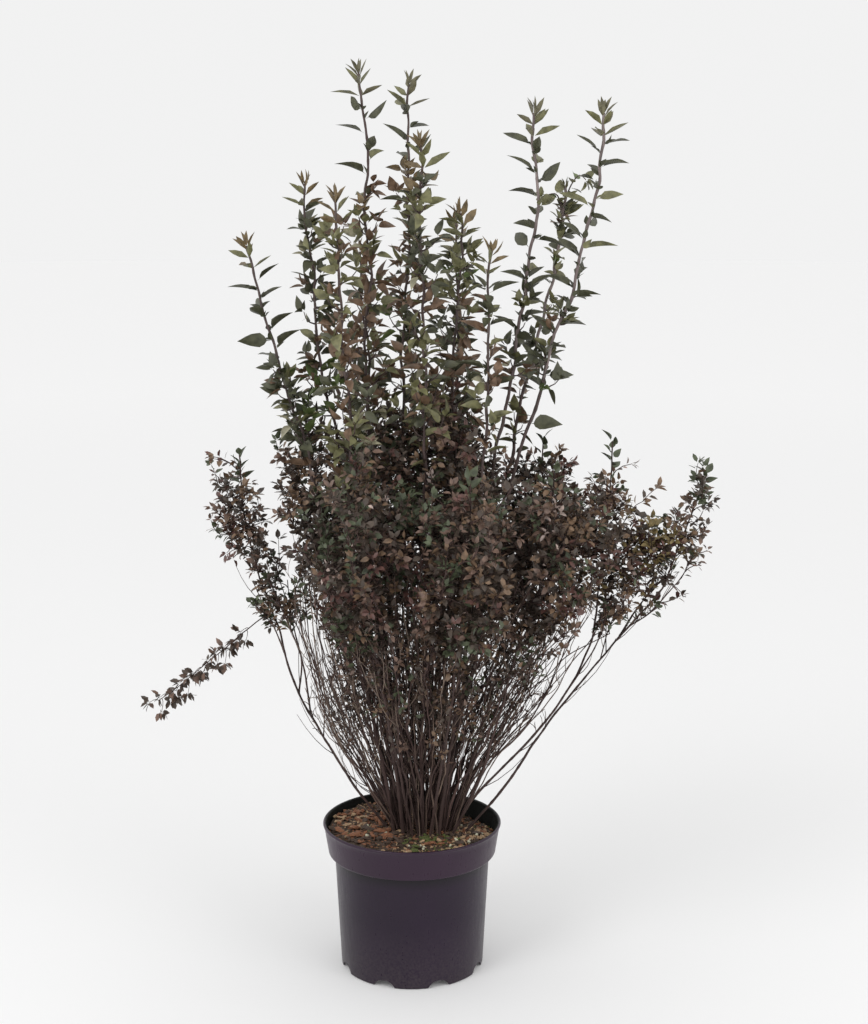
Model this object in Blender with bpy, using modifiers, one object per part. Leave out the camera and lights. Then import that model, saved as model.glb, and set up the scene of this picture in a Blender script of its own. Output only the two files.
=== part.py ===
# A ninebark in its nursery pot: the pot, the potting mix, the canes that rise from it
# and the masses of leaves that they carry. Metres, Z up. The origin is the middle of the
# pot's underside, and the side that is usually shown looks towards -Y.

import math

import bmesh
import bpy
from mathutils import Vector, noise
from mathutils.bvhtree import BVHTree

# Pot
POT_HEIGHT = 0.160
RIM_RADIUS = 0.096
COLLAR_HEIGHT = 0.034
COLLAR_FOOT_RADIUS = 0.0905
BODY_TOP_RADIUS = 0.0835
BODY_FOOT_RADIUS = 0.0770
WALL = 0.0020
EDGE_ROUND = 0.0030
POT_SIDES = 40

# Drainage arches round the pot's lower edge
ARCHES = 8
ARCH_WIDTH = 0.022
ARCH_HEIGHT = 0.007
ARCH_DEPTH = 0.010

# Potting mix
MIX_LEVEL = 0.1515
MIX_DIP = 0.014
MIX_ROUGHNESS = 0.0018
MIX_HUMPS = 28
MIX_CHIPS = 75
MIX_RINGS = 5

# Canes
CLUMP_CENTRE = Vector((0.012, -0.004, 0.0))
CLUMP_RADIUS = 0.042
CLUMP_REACH = 0.110
FOOT_SPACING = 0.0110
SPREADING_ROUNDS = 60
CANE_POINTS = 8
CAP_POINTS = 8
TWIG_RADIUS = 0.0011
SPRAY_TWIG_RADIUS = 0.0009
TALL_CANE_RADIUS = 0.0027
TALL_WAIST_RADIUS = 0.0018
TALL_BOUGH_RADIUS = 0.0016
TALL_TIP_RADIUS = 0.0010

# How far a line leans at its foot, in degrees, and how upright it is at its tip, 0 to 1
TALL_LEAN = 7
TALL_UPRIGHT = 0.85
LOW_UPRIGHT = 0.40
SPRAY_LEAN = 70
SPRAY_UPRIGHT = 0.0

# Leaf masses
MASS_SIDES = 12
MASS_RINGS = 9
UNEVENNESS = 0.34
LUMP_SIZE = 0.050

# The outline of a mass along its cane: the share of its length over which it widens and
# the share over which it narrows, then how pointed its foot and its tip are, 1 to 0.
CUSHION = (0.40, 0.50, 0.65, 0.45)
PLUME = (0.26, 0.32, 0.80, 0.65)

SEAT_GAP = 0.0003
SEAT_STEP = 0.0001
LINE_STEP = 0.01
WAIST_HEIGHT = 0.600

# Places on a growth line, which runs from 0 at the foot over 1 at the waist to 2 at the tip:
# the middle of a low mass, and from where limbs and plumes grow towards the mass they meet
MASS_MIDDLE = 1.5
LOW_CANE_FROM = 0.9
TALL_CANE_FROM = 0.3
PLUME_FROM = 1.9
PLUME_TO = 0.6
SPRAY_FROM = 0.9

# Low growth: the point where the leaves begin, their top, half their width across the
# cane, how far the cane leans at its foot in degrees, and the cane's radius there.
LOW_GROWTH = {
    "left": ((-0.082, 0.004, 0.370), (-0.110, 0.000, 0.602), 0.060, 20, 0.0024),
    "left_front": ((-0.034, -0.072, 0.366), (-0.056, -0.118, 0.580), 0.070, 16, 0.0023),
    "left_back": ((-0.038, 0.078, 0.372), (-0.066, 0.116, 0.596), 0.070, 16, 0.0023),
    "front": ((0.048, -0.082, 0.362), (0.062, -0.142, 0.560), 0.068, 16, 0.0022),
    "back": ((0.046, 0.086, 0.368), (0.054, 0.142, 0.574), 0.068, 16, 0.0022),
    "heart": ((0.024, 0.002, 0.380), (0.024, 0.002, 0.630), 0.096, 4, 0.0026),
    "right_front": ((0.112, -0.050, 0.366), (0.150, -0.084, 0.556), 0.070, 30, 0.0022),
    "right_back": ((0.110, 0.054, 0.372), (0.148, 0.090, 0.564), 0.070, 24, 0.0022),
    "right": ((0.190, -0.002, 0.360), (0.210, 0.000, 0.574), 0.054, 18, 0.0021),
    "far_right": ((0.238, 0.004, 0.384), (0.312, 0.004, 0.538), 0.036, 44, 0.0020),
    "far_left": ((-0.143, 0.010, 0.378), (-0.201, 0.004, 0.568), 0.035, 42, 0.0020),
}

# The three outermost low canes turn up at a bend half way
BENDS = {
    "right": (0.148, -0.006, 0.280),
    "far_right": (0.178, 0.012, 0.308),
    "far_left": (-0.128, 0.013, 0.316),
}

# Tall shoots: the tip, where the shoot passes WAIST_HEIGHT, how far it bows to the right
# above that, half the width of its leaves and the length of bare cane below them.
TALL_SHOOTS = {
    "far_left": ((-0.166, -0.030, 0.790), (-0.115, -0.030), 0.000, 0.030, 0.008),
    "left": ((-0.111, 0.042, 0.850), (-0.088, 0.026), 0.002, 0.027, 0.050),
    "left_front": ((-0.074, -0.070, 0.836), (-0.062, -0.068), 0.000, 0.028, 0.0),
    "crown_left": ((-0.055, -0.006, 0.960), (-0.052, 0.000), 0.014, 0.027, 0.030),
    "crown": ((-0.005, 0.054, 0.951), (-0.012, 0.044), 0.006, 0.029, 0.0),
    "front": ((0.008, -0.058, 0.890), (0.012, -0.052), 0.006, 0.029, 0.0),
    "middle": ((0.050, 0.006, 0.822), (0.046, 0.006), 0.000, 0.029, 0.0),
    "middle_right": ((0.082, -0.074, 0.786), (0.078, -0.066), 0.000, 0.025, 0.0),
    "right": ((0.123, 0.014, 0.922), (0.090, 0.010), 0.012, 0.028, 0.045),
    "far_right": ((0.193, -0.034, 0.920), (0.116, -0.028), 0.008, 0.028, 0.060),
    "right_back": ((0.163, 0.080, 0.848), (0.116, 0.070), 0.006, 0.028, 0.0),
    "back": ((0.050, 0.112, 0.812), (0.046, 0.098), 0.000, 0.029, 0.0),
    "left_back": ((-0.056, 0.104, 0.778), (-0.046, 0.094), 0.000, 0.028, 0.0),
}

# The low spray at the left hangs from a side branch that leaves the mass "far_left".
SPRAY_ROOT = Vector((-0.146, 0.008, 0.386))
SPRAY_BEND = Vector((-0.176, -0.028, 0.376))
SPRAY_TIP = Vector((-0.265, -0.028, 0.298))
SPRAY_WIDTH = 0.017

PLASTIC = ("aubergine plastic", (0.045, 0.030, 0.045), 0.42)
MIX = ("bark mix", (0.120, 0.072, 0.042), 0.95)
BARK = ("cane bark", (0.050, 0.026, 0.020), 0.80)
LOW_LEAF = ("purple leaves", (0.050, 0.028, 0.028), 0.75)
TALL_LEAF = ("green leaves", (0.034, 0.048, 0.028), 0.70)


def clear_scene():
    for scene_object in list(bpy.data.objects):
        bpy.data.objects.remove(scene_object, do_unlink=True)


def new_collection(name):
    collection = bpy.data.collections.new(name)
    bpy.context.scene.collection.children.link(collection)
    return collection


def give_material(piece, finish):
    name, colour, roughness = finish
    material = bpy.data.materials.new(f"{name}, {piece.name}")
    material.use_nodes = True
    shader = material.node_tree.nodes["Principled BSDF"]
    shader.inputs["Base Color"].default_value = (*colour, 1.0)
    shader.inputs["Roughness"].default_value = roughness
    shader.inputs["Metallic"].default_value = 0.0
    piece.data.materials.append(material)


def add_object(name, data, collection, finish=None):
    piece = bpy.data.objects.new(name, data)
    collection.objects.link(piece)
    if finish:
        give_material(piece, finish)
    return piece


def arc(centre, radius, start, end, steps):
    """Points of a profile's rounded corner, angles in degrees."""
    points = []
    for i in range(steps + 1):
        angle = math.radians(start + (end - start) * i / steps)
        points.append((centre[0] + radius * math.cos(angle), centre[1] + radius * math.sin(angle)))
    return points


# Pot

def inner_radius(height):
    """The pot's inner radius below the collar and in it."""
    step = POT_HEIGHT - COLLAR_HEIGHT + WALL
    if height <= step:
        share = height / step
        outer = BODY_FOOT_RADIUS + (BODY_TOP_RADIUS - BODY_FOOT_RADIUS) * share
    else:
        share = (height - step) / (POT_HEIGHT - step)
        outer = COLLAR_FOOT_RADIUS + (RIM_RADIUS - COLLAR_FOOT_RADIUS) * share
    return outer - WALL


def pot_profile():
    """From the middle of the inside, over the rim and down the outside to the underside."""
    collar_foot = POT_HEIGHT - COLLAR_HEIGHT
    inside = [
        (0.0, WALL),
        (inner_radius(WALL), WALL),
        (BODY_TOP_RADIUS - WALL, collar_foot + WALL),
        (COLLAR_FOOT_RADIUS - WALL, collar_foot + 2 * WALL),
    ]
    lip = arc((RIM_RADIUS - WALL / 2, POT_HEIGHT - WALL / 2), WALL / 2, 180, 0, 4)
    collar_edge = arc(
        (COLLAR_FOOT_RADIUS - EDGE_ROUND, collar_foot + EDGE_ROUND), EDGE_ROUND, 0, -90, 3
    )
    body = [(BODY_TOP_RADIUS, collar_foot)]
    foot = arc((BODY_FOOT_RADIUS - EDGE_ROUND, EDGE_ROUND), EDGE_ROUND, 0, -90, 3)
    return inside + lip + collar_edge + body + foot + [(0.0, 0.0)]


def make_pot(parts, cutters):
    mesh = bpy.data.meshes.new("pot profile")
    points = pot_profile()
    mesh.from_pydata(
        [(x, 0.0, z) for x, z in points], [(i, i + 1) for i in range(len(points) - 1)], []
    )
    pot = add_object("pot", mesh, parts, PLASTIC)
    turn = pot.modifiers.new("turn", "SCREW")
    turn.steps = POT_SIDES
    turn.render_steps = POT_SIDES
    turn.use_merge_vertices = True
    turn.merge_threshold = 0.0001
    turn.use_smooth_shade = False
    arches = pot.modifiers.new("arches", "BOOLEAN")
    arches.operation = "DIFFERENCE"
    arches.operand_type = "COLLECTION"
    arches.collection = cutters
    bm = bmesh.new()
    bmesh.ops.create_cube(bm, size=1.0)
    bmesh.ops.scale(bm, vec=(2 * ARCH_DEPTH, ARCH_WIDTH, 2 * ARCH_HEIGHT), verts=bm.verts)
    arch_mesh = bpy.data.meshes.new("arch")
    bm.to_mesh(arch_mesh)
    bm.free()
    for i in range(ARCHES):
        angle = math.tau * (i + 0.5) / ARCHES
        cutter = add_object(f"arch_cutter_{i + 1}", arch_mesh, cutters)
        cutter.location = (BODY_FOOT_RADIUS * math.cos(angle), BODY_FOOT_RADIUS * math.sin(angle), 0.0)
        cutter.rotation_euler = (0.0, 0.0, angle)
        cutter.hide_render = True
        cutter.display_type = "WIRE"
    return pot


# Meshes made of rings

def skin(name, rings, start, end):
    """A closed mesh over rings of equal count, ending in one point at each end."""
    bm = bmesh.new()
    rows = [[bm.verts.new(point) for point in ring] for ring in rings]
    sides = len(rows[0])
    first = bm.verts.new(start)
    last = bm.verts.new(end)
    for i in range(sides):
        j = (i + 1) % sides
        bm.faces.new((first, rows[0][j], rows[0][i]))
        bm.faces.new((last, rows[-1][i], rows[-1][j]))
        for low, high in zip(rows, rows[1:]):
            bm.faces.new((low[i], low[j], high[j], high[i]))
    bmesh.ops.triangulate(bm, faces=bm.faces)
    bmesh.ops.recalc_face_normals(bm, faces=bm.faces)
    mesh = bpy.data.meshes.new(name)
    bm.to_mesh(mesh)
    bm.free()
    mesh.shade_smooth()
    return mesh


def mix_height(x, y):
    """The mix is nearly level with the rim at the front and has sunk at the back right."""
    back_right = max(0.0, (x + y) / (math.sqrt(2) * inner_radius(MIX_LEVEL)))
    humps = noise.noise(Vector((x, y, 0.0)) * MIX_HUMPS)
    chips = noise.noise(Vector((x, y, 0.1)) * MIX_CHIPS)
    return MIX_LEVEL - MIX_DIP * back_right**1.5 + MIX_ROUGHNESS * (humps + chips / 2)


def make_mix(parts):
    def ring(radius, height=None):
        points = []
        for i in range(POT_SIDES):
            angle = math.tau * i / POT_SIDES
            x = radius * math.cos(angle)
            y = radius * math.sin(angle)
            points.append((x, y, mix_height(x, y) if height is None else height))
        return points

    # The pot's inside has flat sides, so the mix stays clear of the middle of each
    clear = SEAT_GAP + RIM_RADIUS * (1 - math.cos(math.pi / POT_SIDES))
    floor = WALL + SEAT_GAP
    step = POT_HEIGHT - COLLAR_HEIGHT + WALL
    rings = [
        ring(inner_radius(floor) - clear, floor),
        ring(inner_radius(step) - clear - SEAT_GAP, step - SEAT_GAP),
        ring(inner_radius(step) - clear + WALL, step + 2 * WALL),
    ]
    rim = inner_radius(MIX_LEVEL - MIX_DIP) - clear - SEAT_GAP
    for i in range(MIX_RINGS):
        rings.append(ring(rim * (1 - i / MIX_RINGS)))
    middle = (0.0, 0.0, mix_height(0.0, 0.0))
    return add_object("potting_mix", skin("potting mix", rings, (0.0, 0.0, floor), middle), parts, MIX)


# Growth lines

def hermite(start, start_pull, end, end_pull, t):
    t2 = t * t
    t3 = t2 * t
    return (
        start * (2 * t3 - 3 * t2 + 1)
        + start_pull * (t3 - 2 * t2 + t)
        + end * (3 * t2 - 2 * t3)
        + end_pull * (t3 - t2)
    )


def growth_line(foot, waist, tip, lean, upright, bow=0.0, bend=None):
    """A smooth line from foot (t = 0) through waist (t = 1) to tip (t = 2).

    It leaves the foot leaning outwards by lean degrees, and upright says how far it has
    turned up at the tip, from 0 to 1. Below the waist it may pass through a bend.
    """
    outward = Vector((waist.x - foot.x, waist.y - foot.y, 0.0)).normalized()
    lean = math.radians(lean)
    leaving = outward * math.sin(lean) + Vector((0.0, 0.0, math.cos(lean)))
    lower = (waist - foot).length
    upper = (tip - waist).length
    middle = ((waist - (bend or foot)).normalized() + (tip - waist).normalized()).normalized()
    arriving = (tip - waist).normalized().lerp(Vector((0.0, 0.0, 1.0)), upright).normalized()

    def through_bend(t):
        first = (bend - foot).length
        second = (waist - bend).length
        turning = ((bend - foot).normalized() + (waist - bend).normalized()).normalized()
        share = first / (first + second)
        if t <= share:
            return hermite(foot, leaving * first, bend, turning * first, t / share)
        return hermite(bend, turning * second, waist, middle * second, (t - share) / (1 - share))

    def at(t):
        if t <= 1.0 and bend:
            return through_bend(t)
        if t <= 1.0:
            return hermite(foot, leaving * lower, waist, middle * lower, t)
        s = t - 1.0
        point = hermite(waist, middle * upper, tip, arriving * upper, s)
        point.x += bow * 4 * s * (1 - s)
        return point

    return at


def spread_feet(targets):
    """Each cane's place in the mix: towards what it carries, then moved apart."""
    feet = []
    for target in targets:
        away = Vector((target.x, target.y, 0.0)) - CLUMP_CENTRE
        reach = CLUMP_RADIUS * (1 - math.exp(-away.length / CLUMP_REACH))
        feet.append(CLUMP_CENTRE + away.normalized() * reach)
    for _ in range(SPREADING_ROUNDS):
        for i, foot in enumerate(feet):
            for other in feet[:i]:
                apart = foot - other
                short = FOOT_SPACING - apart.length
                if short > 0:
                    push = apart.normalized() * short / 2
                    foot += push
                    other -= push
    return feet


# Leaf masses

def frame_at(line, t):
    """Two directions across the line at t."""
    along = (line(t + LINE_STEP) - line(t - LINE_STEP)).normalized()
    side = along.cross(Vector((0.0, 1.0, 0.0))).normalized()
    return side, side.cross(along)


def swell(share, rise, fall, foot_point, tip_point):
    """The width of a mass along its line, from 0 at both ends to 1."""
    up = math.sin(math.pi / 2 * min(1.0, share / rise))
    down = math.sin(math.pi / 2 * min(1.0, (1 - share) / fall))
    return up**foot_point * down**tip_point


def own_side(centre, outward, reach, rivals):
    """reach, cut to stay on this mass's side of the planes half way to its rivals."""
    for middle, normal in rivals:
        rate = normal.dot(outward)
        room = normal.dot(middle - centre) - SEAT_GAP / 2
        if rate > 0:
            reach = min(reach, max(0.0, room / rate))
    return reach


def mass_mesh(name, line, start, end, width, shape, rivals=()):
    rings = []
    for i in range(1, MASS_RINGS):
        share = (1 - math.cos(math.pi * i / MASS_RINGS)) / 2
        t = start + (end - start) * share
        centre = line(t)
        side, across = frame_at(line, t)
        ring = []
        for j in range(MASS_SIDES):
            angle = math.tau * (j + 0.5 * (i % 2)) / MASS_SIDES
            outward = side * math.cos(angle) + across * math.sin(angle)
            reach = width * swell(share, *shape)
            reach *= 1 + UNEVENNESS * noise.noise((centre + outward * width) / LUMP_SIZE)
            ring.append(centre + outward * own_side(centre, outward, reach, rivals))
        rings.append(ring)
    return skin(name, rings, line(start), line(end))


def tree_of(piece):
    mesh = piece.data
    return BVHTree.FromPolygons(
        [vertex.co for vertex in mesh.vertices], [polygon.vertices for polygon in mesh.polygons]
    )


# Canes and boughs

def end_cap(line, t, radius):
    """The middle and rim of a cane's flat end at t."""
    side, across = frame_at(line, t)
    centre = line(t)
    points = [centre]
    for i in range(CAP_POINTS):
        angle = math.tau * i / CAP_POINTS
        points.append(centre + (side * math.cos(angle) + across * math.sin(angle)) * radius)
    return points


def meets(line, t, stop, radius, trees):
    """Where a flat end that travels from t towards stop comes within SEAT_GAP of a mass."""
    step = SEAT_STEP / (line(t) - line(stop)).length * (stop - t)
    while (stop - t) * step > 0:
        cap = end_cap(line, t + step, radius)
        if min(tree.find_nearest(point)[3] for tree in trees for point in cap) < SEAT_GAP:
            return t
        t += step
    return stop


def limb(name, line, start, end, start_radius, end_radius, parts):
    """One tapering limb with flat ends."""
    curve = bpy.data.curves.new(name, "CURVE")
    curve.dimensions = "3D"
    curve.bevel_depth = start_radius
    curve.bevel_resolution = 1
    curve.use_fill_caps = True
    spline = curve.splines.new("POLY")
    spline.points.add(CANE_POINTS - 1)
    for i, point in enumerate(spline.points):
        share = i / (CANE_POINTS - 1)
        point.co = (*line(start + (end - start) * share), 1.0)
        point.radius = 1 + (end_radius / start_radius - 1) * share
    return add_object(name, curve, parts, BARK)


def stand_on_mix(line, radius, mix):
    """The first t at which a cane's flat foot is clear of the mix."""
    def clearance(t):
        gaps = []
        for point in end_cap(line, t, radius):
            hit = mix.ray_cast(Vector((point.x, point.y, POT_HEIGHT)), Vector((0.0, 0.0, -1.0)))
            gaps.append(point.z - hit[0].z)
        return min(gaps)

    t = 0.0
    step = SEAT_STEP / (line(1.0) - line(0.0)).length
    while clearance(t) < SEAT_GAP:
        t += step
    return t


def half_way(name, middles):
    """The planes between one mass and each of the others."""
    planes = []
    for other, middle in middles.items():
        if other != name:
            apart = middle - middles[name]
            planes.append((middles[name] + apart / 2, apart.normalized()))
    return planes


def make_low_growth(lines, mix, parts):
    """The low masses, each on its cane, and their surfaces for what meets them."""
    middles = {name: line(MASS_MIDDLE) for name, line in lines.items()}
    trees = []
    for name, line in lines.items():
        _, _, width, _, cane_radius = LOW_GROWTH[name]
        mesh = mass_mesh(name, line, 1.0, 2.0, width, CUSHION, half_way(name, middles))
        tree = tree_of(add_object(f"leaves_{name}", mesh, parts, LOW_LEAF))
        start = stand_on_mix(line, cane_radius, mix)
        end = meets(line, LOW_CANE_FROM, 1.0, TWIG_RADIUS, [tree])
        limb(f"cane_{name}", line, start, end, cane_radius, TWIG_RADIUS, parts)
        trees.append(tree)
    return trees


def make_tall_shoot(name, line, mix, low_trees, parts):
    """A cane up to the low masses, and above them bare bough, if any, and a plume of leaves."""
    _, _, _, width, bare = TALL_SHOOTS[name]
    start = stand_on_mix(line, TALL_CANE_RADIUS, mix)
    end = meets(line, TALL_CANE_FROM, 1.0, TALL_WAIST_RADIUS, low_trees)
    limb(f"cane_tall_{name}", line, start, end, TALL_CANE_RADIUS, TALL_WAIST_RADIUS, parts)
    leaves = meets(line, PLUME_FROM, PLUME_TO, TALL_BOUGH_RADIUS if bare else 0.0, low_trees)
    if bare:
        length = (line(2.0) - line(1.0)).length
        top = leaves
        leaves += bare / length
        end = leaves - SEAT_GAP / length
        limb(f"bough_tall_{name}", line, top, end, TALL_BOUGH_RADIUS, TALL_TIP_RADIUS, parts)
    mesh = mass_mesh(name, line, leaves, 2.0, width, PLUME)
    add_object(f"leaves_tall_{name}", mesh, parts, TALL_LEAF)


def make_low_spray(low_trees, parts):
    line = growth_line(SPRAY_ROOT, SPRAY_BEND, SPRAY_TIP, SPRAY_LEAN, SPRAY_UPRIGHT)
    start = meets(line, SPRAY_FROM, 0.0, TWIG_RADIUS, low_trees)
    limb("bough_low_spray", line, start, 1.0, TWIG_RADIUS, SPRAY_TWIG_RADIUS, parts)
    gap = SEAT_GAP / (SPRAY_TIP - SPRAY_BEND).length
    mesh = mass_mesh("low spray", line, 1.0 + gap, 2.0, SPRAY_WIDTH, PLUME)
    add_object("leaves_low_spray", mesh, parts, LOW_LEAF)


def main():
    clear_scene()
    parts = new_collection("potted ninebark")
    cutters = new_collection("cutters")
    cutters.hide_render = True
    make_pot(parts, cutters)
    mix = tree_of(make_mix(parts))

    waists = [Vector(row[0]) for row in LOW_GROWTH.values()]
    waists += [Vector((*row[1], WAIST_HEIGHT)) for row in TALL_SHOOTS.values()]
    feet = spread_feet(waists)
    for foot in feet:
        foot.z = mix_height(foot.x, foot.y) - 2 * MIX_ROUGHNESS

    low_lines = {}
    for foot, (name, row) in zip(feet, LOW_GROWTH.items()):
        bend = Vector(BENDS[name]) if name in BENDS else None
        low_lines[name] = growth_line(
            foot, Vector(row[0]), Vector(row[1]), row[3], LOW_UPRIGHT, bend=bend
        )
    tall_lines = {}
    for foot, (name, row) in zip(feet[len(LOW_GROWTH):], TALL_SHOOTS.items()):
        tip, waist, bow, _, _ = row
        waist = Vector((*waist, WAIST_HEIGHT))
        tall_lines[name] = growth_line(foot, waist, Vector(tip), TALL_LEAN, TALL_UPRIGHT, bow)

    low_trees = make_low_growth(low_lines, mix, parts)
    for name, line in tall_lines.items():
        make_tall_shoot(name, line, mix, low_trees, parts)
    make_low_spray(low_trees, parts)


main()
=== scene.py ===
import math

import bpy
import numpy as np
from mathutils import Euler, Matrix, Vector, kdtree, noise
from mathutils.bvhtree import BVHTree


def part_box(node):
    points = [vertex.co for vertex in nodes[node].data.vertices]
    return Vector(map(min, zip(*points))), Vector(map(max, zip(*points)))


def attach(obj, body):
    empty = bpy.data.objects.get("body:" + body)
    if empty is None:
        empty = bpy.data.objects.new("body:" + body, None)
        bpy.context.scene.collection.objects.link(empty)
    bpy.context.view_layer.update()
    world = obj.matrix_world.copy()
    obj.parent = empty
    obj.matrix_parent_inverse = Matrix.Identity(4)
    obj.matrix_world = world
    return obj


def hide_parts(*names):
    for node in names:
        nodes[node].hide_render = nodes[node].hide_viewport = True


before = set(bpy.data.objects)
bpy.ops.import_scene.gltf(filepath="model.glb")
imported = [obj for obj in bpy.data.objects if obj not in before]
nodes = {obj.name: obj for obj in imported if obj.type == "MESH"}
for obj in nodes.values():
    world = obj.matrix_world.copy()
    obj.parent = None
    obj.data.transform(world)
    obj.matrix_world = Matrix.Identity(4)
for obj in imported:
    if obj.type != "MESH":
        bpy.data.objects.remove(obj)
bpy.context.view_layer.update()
up = np.array((0.0, 0.0, 1.0))
goldenTurn = math.radians(137.5)     # the angle from one leaf round a stem to the next


# Shader tools

class Value:
    # A socket that numbers and other sockets can be added to, multiplied by and so on
    def __init__(self, finish, socket):
        self.finish = finish
        self.socket = socket

    def maths(self, operation, first, second):
        return self.finish.node("ShaderNodeMath", {"operation": operation}, {0: first, 1: second})

    def __add__(self, other):
        return self.maths("ADD", self, other)

    def __radd__(self, other):
        return self.maths("ADD", other, self)

    def __sub__(self, other):
        return self.maths("SUBTRACT", self, other)

    def __rsub__(self, other):
        return self.maths("SUBTRACT", other, self)

    def __mul__(self, other):
        return self.maths("MULTIPLY", self, other)

    def __rmul__(self, other):
        return self.maths("MULTIPLY", other, self)


class Finish:
    # A material on one Principled shader: constants go on its own sockets, patterns come from nodes
    def __init__(self, name, **constants):
        self.material = bpy.data.materials.new(name)
        self.material.use_nodes = True
        self.tree = self.material.node_tree
        self.shader = self.tree.nodes["Principled BSDF"]
        for key, value in constants.items():
            self.shader.inputs[key.replace("_", " ")].default_value = value

    def node(self, kind, settings=None, sockets=None, output=0):
        made = self.tree.nodes.new(kind)
        for key, value in (settings or {}).items():
            if key == "stops":
                self.setStops(made.color_ramp, value)
            else:
                setattr(made, key, value)
        for key, value in (sockets or {}).items():
            self.feed(made.inputs[key], value)
        return Value(self, made.outputs[output])

    def setStops(self, ramp, stops):
        while len(ramp.elements) < len(stops):
            ramp.elements.new(1.0)
        for element, (place, colour) in zip(ramp.elements, stops):
            element.position = place
            element.color = (*colour, 1.0)

    def feed(self, socket, value):
        if isinstance(value, Value):
            self.tree.links.new(value.socket, socket)
        else:
            socket.default_value = value

    def noise(self, scale, detail=3.0, stretch=(1.0, 1.0, 1.0)):
        place = self.node("ShaderNodeTexCoord", output="Object")
        if stretch != (1.0, 1.0, 1.0):
            place = self.node("ShaderNodeMapping", {}, {"Vector": place, "Scale": stretch})
        return self.node("ShaderNodeTexNoise", {}, {"Vector": place, "Scale": scale, "Detail": detail}, "Fac")

    def height(self):
        place = self.node("ShaderNodeTexCoord", output="Object")
        return self.node("ShaderNodeSeparateXYZ", {}, {0: place}, "Z")

    def distance(self):
        place = self.node("ShaderNodeTexCoord", output="Object")
        return self.node("ShaderNodeVectorMath", {"operation": "LENGTH"}, {0: place}, "Value")

    def between(self, value, start, end):
        # 0 up to start and 1 from end on
        return self.node("ShaderNodeMapRange", {}, {0: value, 1: start, 2: end, 3: 0.0, 4: 1.0})

    def ramp(self, value, *stops):
        return self.node("ShaderNodeValToRGB", {"stops": stops}, {"Fac": value}, "Color")

    def mix(self, share, first, second):
        return self.node("ShaderNodeMix", {"data_type": "RGBA"}, {0: share, 6: first, 7: second}, 2)

    def spread(self, value, low, high):
        # A number from 0.3 to 0.7, as noise gives, made to run from low to high
        return self.node("ShaderNodeMapRange", {}, {0: value, 1: 0.3, 2: 0.7, 3: low, 4: high})

    def bump(self, height, strength, distance):
        return self.node("ShaderNodeBump", {}, {"Height": height, "Strength": strength, "Distance": distance})

    def set(self, **sockets):
        for key, value in sockets.items():
            self.feed(self.shader.inputs[key.replace("_", " ")], value)
        return self.material


def solid(colour):
    return (*colour, 1.0)


def shades(colour, dark, light):
    # Two stops round a colour: a darker and a lighter one
    return tuple(c * dark for c in colour), tuple(min(1.0, c * light) for c in colour)


# Mesh tools

class Bunch:
    # Gathers many small shapes, then joins them into one piece
    def __init__(self):
        self.points = []
        self.faces = []
        self.slots = []
        self.count = 0

    def add(self, points, faces, slot=0):
        self.points.append(points)
        self.faces.extend((np.asarray(faces) + self.count).tolist())
        self.slots.extend([slot] * len(faces))
        self.count += len(points)

    def piece(self, name, materials, smooth=True):
        mesh = bpy.data.meshes.new(name)
        mesh.from_pydata(np.concatenate(self.points).tolist(), [], self.faces)
        for material in materials:
            mesh.materials.append(material)
        mesh.polygons.foreach_set("material_index", np.array(self.slots, np.int32))
        mesh.polygons.foreach_set("use_smooth", np.full(len(self.faces), smooth))
        mesh.update()
        made = bpy.data.objects.new(name, mesh)
        bpy.context.scene.collection.objects.link(made)
        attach(made, "root")
        return made


def unit(vectors):
    return vectors / np.maximum(np.linalg.norm(vectors, axis=-1, keepdims=True), 1e-9)


def across(along, hint=(0.0, 1.0, 0.0)):
    # Two directions at right angles to each of many directions
    side = unit(np.cross(along, np.broadcast_to(hint, along.shape)))
    return side, np.cross(side, along)


def tube(bunch, path, radii, sides, slot=0, relief=0.0, seed=0.0):
    # A tapering tube with closed ends. Relief gives it ridges along its length
    count = len(path)
    along = unit(np.gradient(path, axis=0))
    side, over = across(along)
    angle = np.arange(sides) * math.tau / sides
    reach = np.repeat(np.asarray(radii)[:, None], sides, 1)
    if relief:
        for i in range(count):
            for j in range(sides):
                place = Vector((math.cos(angle[j]) * 1.6 + seed, math.sin(angle[j]) * 1.6, path[i, 2] * 38))
                reach[i, j] *= 1 + relief * noise.noise(place)
    ring = np.cos(angle)[None, :, None] * side[:, None] + np.sin(angle)[None, :, None] * over[:, None]
    points = (path[:, None] + ring * reach[:, :, None]).reshape(-1, 3)
    points = np.concatenate([points, path[:1], path[-1:]])
    faces = []
    for i in range(count - 1):
        for j in range(sides):
            k = (j + 1) % sides
            faces.append([i * sides + j, i * sides + k, (i + 1) * sides + k])
            faces.append([i * sides + j, (i + 1) * sides + k, (i + 1) * sides + j])
    last = (count - 1) * sides
    for j in range(sides):
        k = (j + 1) % sides
        faces.append([count * sides, k, j])
        faces.append([count * sides + 1, last + j, last + k])
    bunch.add(points, faces, slot)


def smoothPath(points, spacing):
    # A Catmull-Rom curve through a few points, as points about this far apart
    points = np.asarray(points, float)
    ends = np.concatenate([[2 * points[0] - points[1]], points, [2 * points[-1] - points[-2]]])
    path = []
    for a, b, c, d in zip(ends, ends[1:], ends[2:], ends[3:]):
        steps = max(1, round(np.linalg.norm(c - b) / spacing))
        for t in np.arange(steps) / steps:
            path.append(
                0.5 * (2 * b + (c - a) * t + (2 * a - 5 * b + 4 * c - d) * t**2
                       + (3 * b - a - 3 * c + d) * t**3)
            )
    path.append(points[-1])
    return np.array(path)


def bezier(start, pull, end, count):
    t = np.linspace(0, 1, count)[:, None]
    return start * (1 - t) ** 2 + 2 * pull * t * (1 - t) + end * t**2


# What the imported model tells: the middle lines of its limbs and masses

def nodePoints(name):
    return np.array([vertex.co for vertex in nodes[name].data.vertices], float)


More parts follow.
